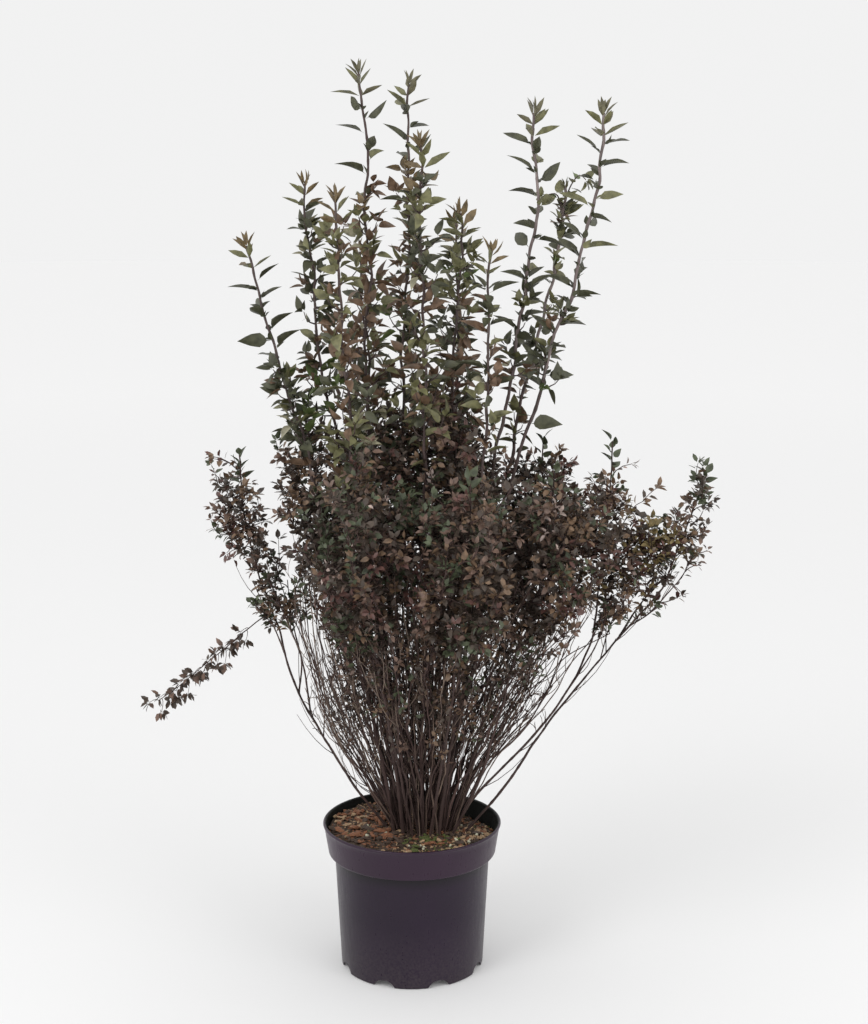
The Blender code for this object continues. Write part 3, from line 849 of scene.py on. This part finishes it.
def leafShape(stations, fold, arch, twist=0.0):
    # A blade from base (y 0) to tip (y 1). Each station is (y, half its width there). fold lifts
    # the edges, arch bends the tip down and twist turns the blade along its length
    points = [(0.0, 0.0, 0.0)]
    rise = math.atan(fold)
    for y, half in stations:
        turn = twist * y
        for side in (-1, 0, 1):
            angle = turn + side * rise
            points.append((side * half * math.cos(angle), y, side * half * math.sin(angle) - arch * y**2))
    points.append((0.0, 1.0, -arch))
    faces = [(0, 2, 1), (0, 3, 2)]
    for i in range(len(stations) - 1):
        a = 1 + 3 * i
        faces += [(a, a + 1, a + 4), (a, a + 4, a + 3), (a + 1, a + 2, a + 5), (a + 1, a + 5, a + 4)]
    a = 1 + 3 * (len(stations) - 1)
    last = len(points) - 1
    faces += [(a, a + 1, last), (a + 1, a + 2, last)]
    return np.array(points), np.array(faces)


# Outlines: a short stalk, then the blade
lobed = ((0.14, 0.02), (0.32, 0.28), (0.52, 0.22), (0.70, 0.20))
oval = ((0.14, 0.03), (0.34, 0.26), (0.68, 0.24))
lance = ((0.15, 0.012), (0.21, 0.11), (0.33, 0.190), (0.48, 0.180), (0.60, 0.165), (0.76, 0.110), (0.90, 0.045))
broad = ((0.13, 0.012), (0.19, 0.14), (0.33, 0.26), (0.50, 0.255), (0.68, 0.19), (0.84, 0.10))
narrow = ((0.14, 0.07), (0.38, 0.18), (0.70, 0.13))
disc = ((0.12, 0.03), (0.22, 0.26), (0.42, 0.38), (0.66, 0.36), (0.88, 0.20))
shapes = {
    "low": [leafShape(lobed, 0.35, 0.10), leafShape(oval, 0.25, 0.20), leafShape(oval, 0.55, 0.05, 0.5),
            leafShape(oval, 0.15, 0.28, -0.4)],
    "tall": [leafShape(lance, 0.75, 0.14, 0.3), leafShape(lance, 1.0, 0.22, -0.3), leafShape(lance, 0.5, 0.30),
             leafShape(lance, 0.35, 0.18, 0.7), leafShape(lance, 0.8, 0.08, -0.6)],
    "side": [leafShape(broad, 0.45, 0.12, 0.3), leafShape(broad, 0.30, 0.25), leafShape(broad, 0.7, 0.18, -0.4)],
    "young": [leafShape(narrow, 0.7, -0.10), leafShape(narrow, 0.6, 0.12)],
    "disc": [leafShape(disc, 0.35, 0.12), leafShape(disc, 0.20, 0.25), leafShape(disc, 0.45, 0.10, 0.3)],
}


class Leaves:
    # Leaves of each colour, kept as numbers until they are joined
    def __init__(self):
        self.rows = {}

    def add(self, colour, shape, base, along, face, length):
        self.rows.setdefault((colour, shape), []).append((*base, *along, *face, length))

    def bunches(self, rng):
        made = {}
        for (colour, shape), rows in sorted(self.rows.items()):
            rows = np.array(rows)
            pick = rng.integers(0, len(shapes[shape]), len(rows))
            bunch = made.setdefault(colour, Bunch())
            for i, (points, faces) in enumerate(shapes[shape]):
                some = rows[pick == i]
                if not len(some):
                    continue
                base, along, face = some[:, :3], unit(some[:, 3:6]), some[:, 6:9]
                side = unit(np.cross(along, face))
                face = np.cross(side, along)
                length = some[:, 9]
                wide = length * rng.uniform(0.85, 1.18, len(some))
                spots = (
                    base[:, None]
                    + side[:, None] * (points[:, 0] * wide[:, None])[:, :, None]
                    + along[:, None] * (points[:, 1] * length[:, None])[:, :, None]
                    + face[:, None] * (points[:, 2] * wide[:, None])[:, :, None]
                )
                shift = np.arange(len(some))[:, None, None] * len(points)
                bunch.add(spots.reshape(-1, 3), (faces[None] + shift).reshape(-1, 3))
        return made


def leafOut(leaves, colour, shape, point, along, angle, spread, length, rng, droop=0.15, roll=0.35):
    # One leaf at a point of a stem: turned round it by angle, opened from it by spread
    side, over = across(along[None])
    out = side[0] * math.cos(angle) + over[0] * math.sin(angle)
    way = along * math.cos(spread) + out * math.sin(spread) - up * droop
    away = np.array((point[0] - 0.03, point[1], 0.0))
    face = up * 0.7 + along * 0.3 + away / (np.linalg.norm(away) + 0.02) * 0.35 + rng.normal(0, roll, 3)
    leaves.add(colour, shape, point + out * 0.0008, way, face, length)


def growTwigs(spots, ways, aims, habit):
    # Twigs that reach, nearest first, from what has grown so far to each aim
    spots, ways = list(spots), list(ways)
    start = np.array(spots)
    aims = sorted(aims, key=lambda aim: np.linalg.norm(start - aim, axis=1).min())
    grown = []
    for first in range(0, len(aims), habit["batch"]):
        search = kdtree.KDTree(len(spots))
        for i, spot in enumerate(spots):
            search.insert(spot, i)
        search.balance()
        for aim in aims[first:first + habit["batch"]]:
            best, least = None, habit["reach"]
            for spot, i, distance in search.find_n(Vector(aim), 16):
                rise = aim[2] - spot[2]
                cost = distance + 1.2 * max(0.0, habit["climb"] * distance - rise)
                if cost < least and distance > habit["shortest"]:
                    best, least = i, cost
            if best is None:
                continue
            base, along = np.array(spots[best]), np.array(ways[best])
            span = np.linalg.norm(aim - base)
            pull = base + along * span * 0.35 + (aim - base) * 0.25
            path = bezier(base, pull, aim, max(4, round(span / habit["step"])))
            spots += list(path[1:])
            way = directions(path)
            ways += list(way[1:])
            grown.append((path, way))
    return grown


def dress(path, way, leaves, rng, habit, colour):
    # Leaves up a twig, and a tuft at its tip. A few leaves take other colours than the twig's own
    others, chances = list(habit["others"]), list(habit["others"].values())
    length = lengths(path)
    turn = rng.uniform(0, math.tau)
    for place in np.arange(habit["bare"] * length[-1], length[-1], habit["gap"]):
        i = np.searchsorted(length, place, side="right") - 1
        share = (place - length[i]) / (length[i + 1] - length[i])
        point = path[i] + (path[i + 1] - path[i]) * share
        turn += goldenTurn
        own = colour if rng.uniform() < habit["own"] else others[rng.choice(len(others), p=chances)]
        size = rng.uniform(*habit["leaf"]) * (0.7 if own == "mauve" else 1.0)
        leafOut(leaves, own, habit["shape"], point, way[i], turn, rng.uniform(0.65, 1.2), size, rng)
    for _ in range(habit["tuft"]):
        turn += goldenTurn
        leafOut(leaves, colour, habit["shape"], path[-1], way[-1], turn, rng.uniform(0.2, 1.1),
                rng.uniform(*habit["leaf"]) * 0.9, rng, 0.0)


# Low growth

lowColours = {
    "purple": (0.160, 0.102, 0.077), "umber": (0.066, 0.048, 0.036), "brown": (0.162, 0.102, 0.062),
    "maroon": (0.116, 0.057, 0.047), "mauve": (0.390, 0.305, 0.270), "moss": (0.078, 0.092, 0.052),
    "olive": (0.210, 0.160, 0.070),
}
lowShares = {"purple": 0.45, "umber": 0.21, "brown": 0.24, "maroon": 0.03, "mauve": 0.03, "moss": 0.04}

# Patches where one colour gathers: size of the patches (1/m), how rare they are, and the chance inside one
lowPatches = (("moss", 22.0, 0.24, 0.75), ("maroon", 24.0, 0.26, 0.70), ("brown", 19.0, 0.22, 0.6),
              ("umber", 20.0, 0.20, 0.7))

# Where a colour gathers: its middle (x, height), its reach, and how strongly it takes over there
lowTints = (
    ("moss", (-0.070, 0.500), 0.034, 0.60), ("moss", (-0.004, 0.528), 0.026, 0.6),
    ("moss", (0.046, 0.372), 0.022, 0.6), ("moss", (-0.103, 0.375), 0.022, 0.5),
    ("maroon", (-0.028, 0.473), 0.022, 0.7), ("maroon", (-0.089, 0.439), 0.016, 0.6),
    ("maroon", (0.202, 0.472), 0.034, 0.55), ("olive", (0.252, 0.470), 0.030, 0.9),
    ("brown", (-0.110, 0.560), 0.040, 0.4), ("brown", (0.190, 0.490), 0.040, 0.5),
    ("umber", (0.075, 0.435), 0.050, 0.55), ("brown", (0.180, 0.415), 0.040, 0.3),
    ("umber", (-0.090, 0.470), 0.060, 0.6),
)

lowHabit = {
    "density": 470000, "reach": 0.075, "climb": 0.45, "shortest": 0.010, "step": 0.009, "batch": 60,
    "radius": (0.0008, 0.0004), "bare": 0.2, "gap": 0.0056, "leaf": (0.0076, 0.0116), "tuft": 3, "shape": "low",
    "open": -0.38, "openBelow": 0.450, "slope": 3.6, "farOpen": -0.12, "farSlope": 0.5,
    # deep and shade: below this depth in a mass a leaf turns umber this often, as painted shade
    "edge": 0.0030, "shell": 0.016, "lumps": 28.0, "crevice": -0.04, "deep": 0.018, "shade": 0.4,
    "own": 0.84, "others": {"umber": 0.38, "mauve": 0.30, "brown": 0.32},
}

# Places where sky shows through: (middle as x and height, reach, share of the twigs left out)
thinPlaces = (((0.222, 0.576), 0.050, 0.85), ((-0.135, 0.470), 0.020, 0.70), ((-0.112, 0.388), 0.038, 0.85),
              ((0.256, 0.516), 0.026, 0.90), ((0.098, 0.556), 0.030, 0.75))

# Young shoots on top of the masses
sprigs = {
    "facing": -0.15, "depth": 0.012, "chance": 0.24, "span": (0.010, 0.026), "radius": (0.0006, 0.0003), "bare": 0.1,
    "gap": 0.0055, "leaf": (0.0085, 0.0135), "tuft": 3, "shape": "low", "own": 0.85,
    "others": {"umber": 0.6, "mauve": 0.1, "brown": 0.3},
}

# Leafy places between the masses: (middle, reach, number of twigs) beside each
fillIns = {
    "far_right": (((0.246, 0.000, 0.458), 0.028, 40), ((0.284, 0.002, 0.476), 0.030, 26),
                  ((0.208, -0.004, 0.396), 0.024, 16)),
    "far_left": (((-0.140, 0.010, 0.396), 0.026, 45), ((-0.184, 0.004, 0.480), 0.034, 22)),
    "right": (((0.150, 0.000, 0.468), 0.050, 90),),
}

# Short leafy twigs on the canes below the masses, fewer lower down
strays = {
    "low": 0.220, "high": 0.40, "chance": 0.42, "span": (0.008, 0.030), "radius": (0.0006, 0.0003), "bare": 0.3,
    "gap": 0.0080, "leaf": (0.0060, 0.0100), "tuft": 2, "shape": "low", "own": 0.8,
    "others": {"umber": 0.5, "mauve": 0.2, "brown": 0.3},
}


def pickColour(place, tints, shares, rng, patches=()):
    for colour, middle, reach, hold in tints:
        near = math.dist(place[::2], middle) / reach
        if rng.uniform() < hold * math.exp(-near**2):
            return colour
    for i, (colour, scale, rare, hold) in enumerate(patches):
        if noise.noise(Vector(place) * scale + Vector((7.3 * i, 0, 0))) > rare and rng.uniform() < hold:
            return colour
    return list(shares)[rng.choice(len(shares), p=list(shares.values()))]


def far(name):
    return name.startswith("far")


def lowAims(name, rng):
    # Points through a mass. Noise leaves gaps, wider towards its foot, and breaks its surface into lumps
    tree = treeOf(f"leaves_{name}")
    low, high = (np.array(corner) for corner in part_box(f"leaves_{name}"))
    aims = []
    for _ in range(round(np.prod(high - low) * lowHabit["density"])):
        point = rng.uniform(low, high)
        within, depth = inside(tree, point)
        if not within or depth < lowHabit["edge"]:
            continue
        if any(math.dist(point[::2], middle) < reach and rng.uniform() < share
               for middle, reach, share in thinPlaces):
            continue
        sunk = max(0.0, lowHabit["openBelow"] - point[2])
        if far(name):
            limit = lowHabit["farOpen"] + sunk * lowHabit["farSlope"]
        else:
            limit = lowHabit["open"] + sunk * lowHabit["slope"]
        lump = noise.noise(Vector(point) * lowHabit["lumps"] + Vector((40, 0, 0)))
        if depth < lowHabit["shell"] and lump < lowHabit["crevice"] and not far(name):
            continue
        if noise.noise(Vector(point) * 22) > limit:
            aims.append(point)
    return aims


def growLow(lines, leaves, twigs):
    rng = np.random.default_rng(23)
    for name in lowNames:
        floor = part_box(f"leaves_{name}")[0].z - 0.03
        spots = np.concatenate([path[path[:, 2] > floor] for path in lines[name]])
        ways = np.concatenate([directions(path)[path[:, 2] > floor] for path in lines[name]])
        aims = lowAims(name, rng)
        for middle, reach, count in fillIns.get(name, ()):
            for _ in range(count):
                aims.append(np.array(middle) + unit(rng.normal(0, 1, 3)) * reach * rng.uniform() ** 0.5)
        tree = treeOf(f"leaves_{name}")
        for path, way in growTwigs(spots, ways, aims, lowHabit):
            tube(twigs, path, np.linspace(*lowHabit["radius"], len(path)), 3)
            colour = pickColour(path[-1], lowTints, lowShares, rng, lowPatches)
            _, normal, _, depth = tree.find_nearest(Vector(path[-1]))
            # Leaves deep inside a mass often turn umber: painted shade
            if depth > lowHabit["deep"] and rng.uniform() < lowHabit["shade"]:
                colour = "umber"
            dress(path, way, leaves, rng, lowHabit, colour)
            if normal.z > sprigs["facing"] and depth < sprigs["depth"] and rng.uniform() < sprigs["chance"]:
                along = (0.0, 0.0, 0.2) if far(name) else way[-1] * 0.4 + np.array(normal) * 0.4
                addSprig(path[-1], along, colour, leaves, twigs, rng)
        tipShoot(lines[name][0][-8:], leaves, rng)
        for path in lines[name][1:] if far(name) else lines[name]:
            addStrays(path, leaves, twigs, rng)


def addSprig(base, along, colour, leaves, twigs, rng):
    # A young shoot that stands out of a mass and turns up
    way = unit(along + up * 0.7 + rng.normal(0, 0.15, 3))
    tip = base + way * rng.uniform(*sprigs["span"])
    path = bezier(base, (base + tip) / 2 + rng.normal(0, 0.0015, 3), tip, 5)
    tube(twigs, path, np.linspace(*sprigs["radius"], 5), 3)
    dress(path, directions(path), leaves, rng, sprigs, "umber" if rng.uniform() < 0.3 else colour)


def addStrays(path, leaves, twigs, rng):
    way = directions(path)
    for i in range(1, len(path)):
        share = (path[i, 2] - strays["low"]) / (strays["high"] - strays["low"])
        right = 0.09 + 0.5 * max(0.0, path[i, 2] - 0.25)
        left = -0.070 - 0.3 * max(0.0, path[i, 2] - 0.30)
        if not 0 < share < 1 or not left < path[i, 0] < right or rng.uniform() > strays["chance"] * share:
            continue
        colour = pickColour(path[i], (), {"umber": 0.40, "purple": 0.25, "moss": 0.17, "brown": 0.18}, rng)
        span = rng.uniform(*strays["span"])
        out = unit(rng.normal(0, 1, 3) * (1, 1, 0.2))
        tip = path[i] + (way[i] * 0.7 + out * rng.uniform(0.3, 0.8)) * span
        twig = bezier(path[i], path[i] + (way[i] * 0.3 + out * 0.3) * span, tip, 4)
        tube(twigs, twig, np.linspace(*strays["radius"], 4), 3)
        dress(twig, directions(twig), leaves, rng, strays, colour)


def tipShoot(path, leaves, rng):
    # The top of a leader: larger, greener leaves
    way = directions(path)
    turn = rng.uniform(0, math.tau)
    for i in range(len(path)):
        turn += goldenTurn
        leafOut(leaves, "moss", "side", path[i], way[i], turn, 0.95 - 0.5 * i / len(path),
                rng.uniform(0.013, 0.017), rng, 0.0)


# Tall shoots

tallColours = {
    "leaf": (0.156, 0.151, 0.071), "dark": (0.070, 0.072, 0.041), "bronze": (0.170, 0.122, 0.060),
    "fresh": (0.112, 0.150, 0.048), "russet": (0.152, 0.094, 0.058), "tip": (0.140, 0.128, 0.076),
    "light": (0.300, 0.280, 0.190),
}
tallShares = {"leaf": 0.44, "dark": 0.28, "russet": 0.20, "light": 0.06, "fresh": 0.02}
tallPatches = (("russet", 20.0, 0.20, 0.7), ("dark", 22.0, 0.22, 0.7), ("leaf", 24.0, 0.25, 0.6))
tallTints = (
    ("fresh", (-0.104, 0.630), 0.024, 0.9), ("fresh", (-0.096, 0.590), 0.014, 0.7),
    ("bronze", (0.010, 0.840), 0.040, 0.8), ("bronze", (-0.074, 0.815), 0.026, 0.6),
    ("russet", (-0.052, 0.660), 0.030, 0.6), ("russet", (0.008, 0.640), 0.026, 0.6),
    ("dark", (0.130, 0.660), 0.040, 0.6), ("russet", (0.065, 0.660), 0.022, 0.5),
)

shoots = {
    "gap": (0.0126, 0.0102), "leaf": (0.028, 0.035), "shrink": 0.15, "tuftHeight": 0.010, "axil": (0.42, 0.7),
    "axilLeaf": (0.009, 0.014), "start": 0.05, "lowLeaf": 0.84, "topLeaf": 1.12, "reach": (0.040, 0.012),
    "forks": 2, "airyReach": 0.6, "slate": 0.90,
}

# How high side shoots stand on each tall shoot
sideTop = {
    "far_left": 0.650, "left": 0.790, "left_front": 0.840, "crown_left": 0.835, "crown": 0.845, "front": 0.870,
    "middle": 0.800, "middle_right": 0.770, "right": 0.745, "far_right": 0.735, "right_back": 0.850,
    "back": 0.800, "left_back": 0.760,
}

# Tall shoots at the outside are closely leaved, in green; one at the back right carries small round ones
outerShoots = ("far_left", "left", "right", "far_right")
smallLeaved = {"name": "right_back", "leaf": (0.014, 0.018)}
sideHabit = {"radius": (0.0009, 0.0004), "bare": 0.25, "gap": 0.0086, "leaf": (0.0140, 0.0230), "tuft": 3,
             "shape": "side", "own": 0.72, "others": {"dark": 0.45, "leaf": 0.30, "light": 0.15, "russet": 0.10}}

# Airy shoots: large leaves, few side twigs, and none on the bare stem below the plume
airyShoots = ("right", "far_right", "middle_right", "right_back")

# Bare stems that are paler than the others
paleShoots = ("right", "far_right", "right_back")

# The two arms that end the small-leaved shoot, and one long leaf under them
arms = {
    "routes": (((0.161, 0.078, 0.807), (0.156, 0.077, 0.820), (0.151, 0.075, 0.826), (0.140, 0.074, 0.824)),
               ((0.163, 0.078, 0.818), (0.168, 0.080, 0.834), (0.177, 0.081, 0.845), (0.184, 0.081, 0.840))),
    "leafFoot": (0.1612, 0.0785, 0.8036), "leafWay": (0.80, -0.25, 0.50), "leafLength": 0.026,
    "radius": (0.0010, 0.0005), "bare": 0.15, "gap": 0.0052, "leaf": (0.0120, 0.0160), "tuft": 4, "shape": "disc",
    "own": 0.7, "others": {"fresh": 0.2, "dark": 0.8},
}

# The tufts at the tips, tier by tier: how far below the tip, number, spread and length of the leaves
tuftTiers = ((0.023, 3, 1.25, 0.026), (0.012, 3, 1.00, 0.022), (0.004, 3, 0.60, 0.019), (0.0, 2, 0.25, 0.015))

# One large leaf stands out at the right: the shoot that carries it, its height, and its own length
largeLeaf = {"shoot": "far_right", "height": 0.592, "length": 0.034}


def growTall(paths, leaves, twigs):
    rng = np.random.default_rng(31)
    for name, path in paths.items():
        way = directions(path)
        length = lengths(path)
        airy = name in airyShoots
        outer = name in outerShoots
        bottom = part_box(f"leaves_tall_{name}")[0].z - (0.0 if airy else shoots["start"])
        start = length[np.argmax(path[:, 2] > bottom)]
        turn = rng.uniform(0, math.tau)
        place = start
        while place < length[-1] - tuftTiers[0][0] - 0.004:
            i = np.searchsorted(length, place, side="right") - 1
            share = (place - start) / (length[-1] - start)
            below = (sideTop[name] - path[i, 2]) / (sideTop[name] - bottom)
            turn += goldenTurn + rng.uniform(-0.3, 0.3)
            colour = pickColour(path[i], tallTints, tallShares, rng, tallPatches)
            if below < 0.5 * outer:
                colour = "dark" if rng.uniform() < shoots["slate"] else "leaf"
            shape = "disc" if name == smallLeaved["name"] else "tall"
            size = rng.uniform(*(smallLeaved["leaf"] if shape == "disc" else shoots["leaf"]))
            size *= 1 - shoots["shrink"] * share**4
            if below > 0:
                size *= 1.0 if airy else shoots["lowLeaf"]
                reach = shoots["airyReach"] if airy else 1.0
                sideTwigs(path[i], way[i], turn, below, reach, colour, leaves, twigs, rng)
            else:
                size *= shoots["topLeaf"]
            leafOut(leaves, colour, shape, path[i], way[i], turn, rng.uniform(0.95, 1.35) - 0.15 * share**4,
                    size, rng, 0.0, 0.5 if below > 0 else 0.8)
            for _ in range(3):
                if rng.uniform() < shoots["axil"][outer]:
                    leafOut(leaves, colour, "side", path[i], way[i], turn + rng.uniform(-1.2, 1.2),
                            rng.uniform(0.4, 1.0), rng.uniform(*shoots["axilLeaf"]), rng, 0.0)
            place += shoots["gap"][outer] * rng.uniform(0.8, 1.2)
        addTuft(path, way, name, leaves, turn, rng, 0.6 if name == smallLeaved["name"] else 1.0)

    path = paths[largeLeaf["shoot"]]
    base = path[np.argmax(path[:, 2] > largeLeaf["height"])]
    leaves.add("dark", "side", base, (1.0, -0.15, 0.03), (0.0, -1.0, 0.55), largeLeaf["length"])

    path = paths[smallLeaved["name"]]
    for route in arms["routes"]:
        root = path[np.linalg.norm(path - route[0], axis=1).argmin()]
        arm = smoothPath([root, *route[1:]], 0.004)
        tube(twigs, arm, np.linspace(*arms["radius"], len(arm)), 5)
        dress(arm, directions(arm), leaves, rng, arms, "leaf")
    root = path[np.linalg.norm(path - arms["leafFoot"], axis=1).argmin()]
    leaves.add("leaf", "tall", root, arms["leafWay"], (-0.4, -0.8, 0.5), arms["leafLength"])


def sideTwigs(point, way, turn, below, reach, colour, leaves, twigs, rng):
    # Short leafy twigs in one leaf joint, longer lower down
    for k in range(shoots["forks"]):
        if rng.uniform() > reach * 0.8:
            continue
        angle = turn + k * 2.2 + rng.uniform(-0.5, 0.5)
        side, over = across(way[None])
        out = side[0] * math.cos(angle) + over[0] * math.sin(angle)
        span = reach * (shoots["reach"][1] + (shoots["reach"][0] - shoots["reach"][1]) * below)
        span *= rng.uniform(0.5, 1.1)
        tip = point + (out * rng.uniform(0.5, 0.85) + way * 0.6) * span
        twig = bezier(point, point + (out * 0.5 + way * 0.1) * span, tip, max(4, round(span / 0.008)))
        tube(twigs, twig, np.linspace(*sideHabit["radius"], len(twig)), 4)
        own = pickColour(tip, tallTints, tallShares, rng, tallPatches) if rng.uniform() < 0.4 else colour
        dress(twig, directions(twig), leaves, rng, sideHabit, own)


def addTuft(path, way, name, leaves, turn, rng, scale):
    tip = "tip" if name in ("right", "far_right", "right_back", "crown_left", "crown") else "bronze"
    for below, count, spread, size in tuftTiers:
        for i in range(count):
            turn += goldenTurn
            colour = tip if below < 0.006 or i == 1 else "leaf"
            leafOut(leaves, colour, "young", path[-1] - way[-1] * below, way[-1], turn,
                    spread + rng.uniform(-0.12, 0.12), size * scale * rng.uniform(0.9, 1.15), rng, -0.03, 0.7)


# The low spray

spray = {
    "leaf": (0.0085, 0.0125), "spacing": 0.0045, "radius": (0.0007, 0.0004), "short": (0.004, 0.014), "each": 8,
}


def growSpray(lines, leaves, twigs):
    # Leaves in hanging clusters on a thin arching stalk, which leaves the nearest outer cane
    rng = np.random.default_rng(41)
    stalk = middleLine("bough_low_spray", 6, 0)[::-1]
    inner = middleLine("leaves_low_spray", 6, 0)[::-1][1:]
    cane = lines["far_left"][0]
    root = cane[np.linalg.norm(cane - stalk[0], axis=1).argmin()]
    path = smoothPath(np.concatenate([[root], stalk[1:], inner]), spray["spacing"])
    way = directions(path)
    tube(twigs, path, np.linspace(*spray["radius"], len(path)), 5)
    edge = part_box("leaves_low_spray")[1].x
    turn = 0.0
    for i in range(len(path)):
        if path[i, 0] > edge + 0.008 or rng.uniform() < 0.15:
            continue
        turn += goldenTurn
        side, over = across(way[i][None])
        out = side[0] * math.cos(turn) + over[0] * math.sin(turn)
        tip = path[i] + (out * 0.6 + way[i] * 0.5 - up * 0.4) * rng.uniform(*spray["short"])
        short = bezier(path[i], path[i] + out * 0.004, tip, 4)
        tube(twigs, short, np.linspace(0.0005, 0.0003, 4), 3)
        for _ in range(spray["each"]):
            turn += goldenTurn
            colour = "umber" if rng.uniform() < 0.75 else "purple"
            leafOut(leaves, colour, "low", tip, unit(tip - path[i]), turn, rng.uniform(0.5, 1.4),
                    rng.uniform(*spray["leaf"]), rng)


def leafFinish(name, colour, rough):
    # A blade mottled in two shades, with fine veins and a soft gloss
    finish = Finish(name, Specular_IOR_Level=0.45)
    mottle = finish.noise(140.0, 3.0)
    veins = finish.noise(900.0, 4.0)
    dark, light = shades(colour, 0.62, 1.42)
    return finish.set(Base_Color=finish.ramp(mottle, (0.32, dark), (0.68, light)),
                      Roughness=finish.spread(mottle, rough - 0.06, rough + 0.10),
                      Normal=finish.bump(veins, 0.25, 0.0004))


def makeFoliage(lines, tallPaths, barks):
    lowLeaves, tallLeaves = Leaves(), Leaves()
    lowTwigs, tallTwigs = Bunch(), Bunch()
    growLow(lines, lowLeaves, lowTwigs)
    growSpray(lines, lowLeaves, lowTwigs)
    growTall(tallPaths, tallLeaves, tallTwigs)
    rng = np.random.default_rng(59)
    lowHeld = [f"leaves_{name}" for name in lowNames] + ["leaves_low_spray"]
    tallHeld = [f"leaves_tall_{name}" for name in tallNames]
    for kind, leaves, colours, slot, held, rough in (
        ("low", lowLeaves, lowColours, "purple_leaves", lowHeld, 0.44),
        ("tall", tallLeaves, tallColours, "green_leaves", tallHeld, 0.44),
    ):
        print(kind, "leaves", sum(len(rows) for rows in leaves.rows.values()))
        for colour, bunch in leaves.bunches(rng).items():
            finish = leafFinish(f"{kind} leaf, {colour}", colours[colour], rough)
            made = bunch.piece(f"leaves_{kind}_{colour}", [finish])
            if held:
                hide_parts(*held)
                held = []
            print(made.name, len(made.data.polygons), "triangles")
    made = lowTwigs.piece("twigs_low", [barks["red"]])
    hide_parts("bough_low_spray")
    made = tallTwigs.piece("twigs_tall", [barks["dusk"]])
    print("twigs", len(lowTwigs.faces), len(tallTwigs.faces), "triangles")


setStage()
print("stage set")
makePot()
print("pot made")
makeMix()
print("mix laid")
lowPaths, tallPaths = leaderPaths()
caneLines, caneBark = makeCanes(lowPaths, tallPaths)
print("canes grown")
makeFoliage(caneLines, tallPaths, caneBark)
print("leaves grown")
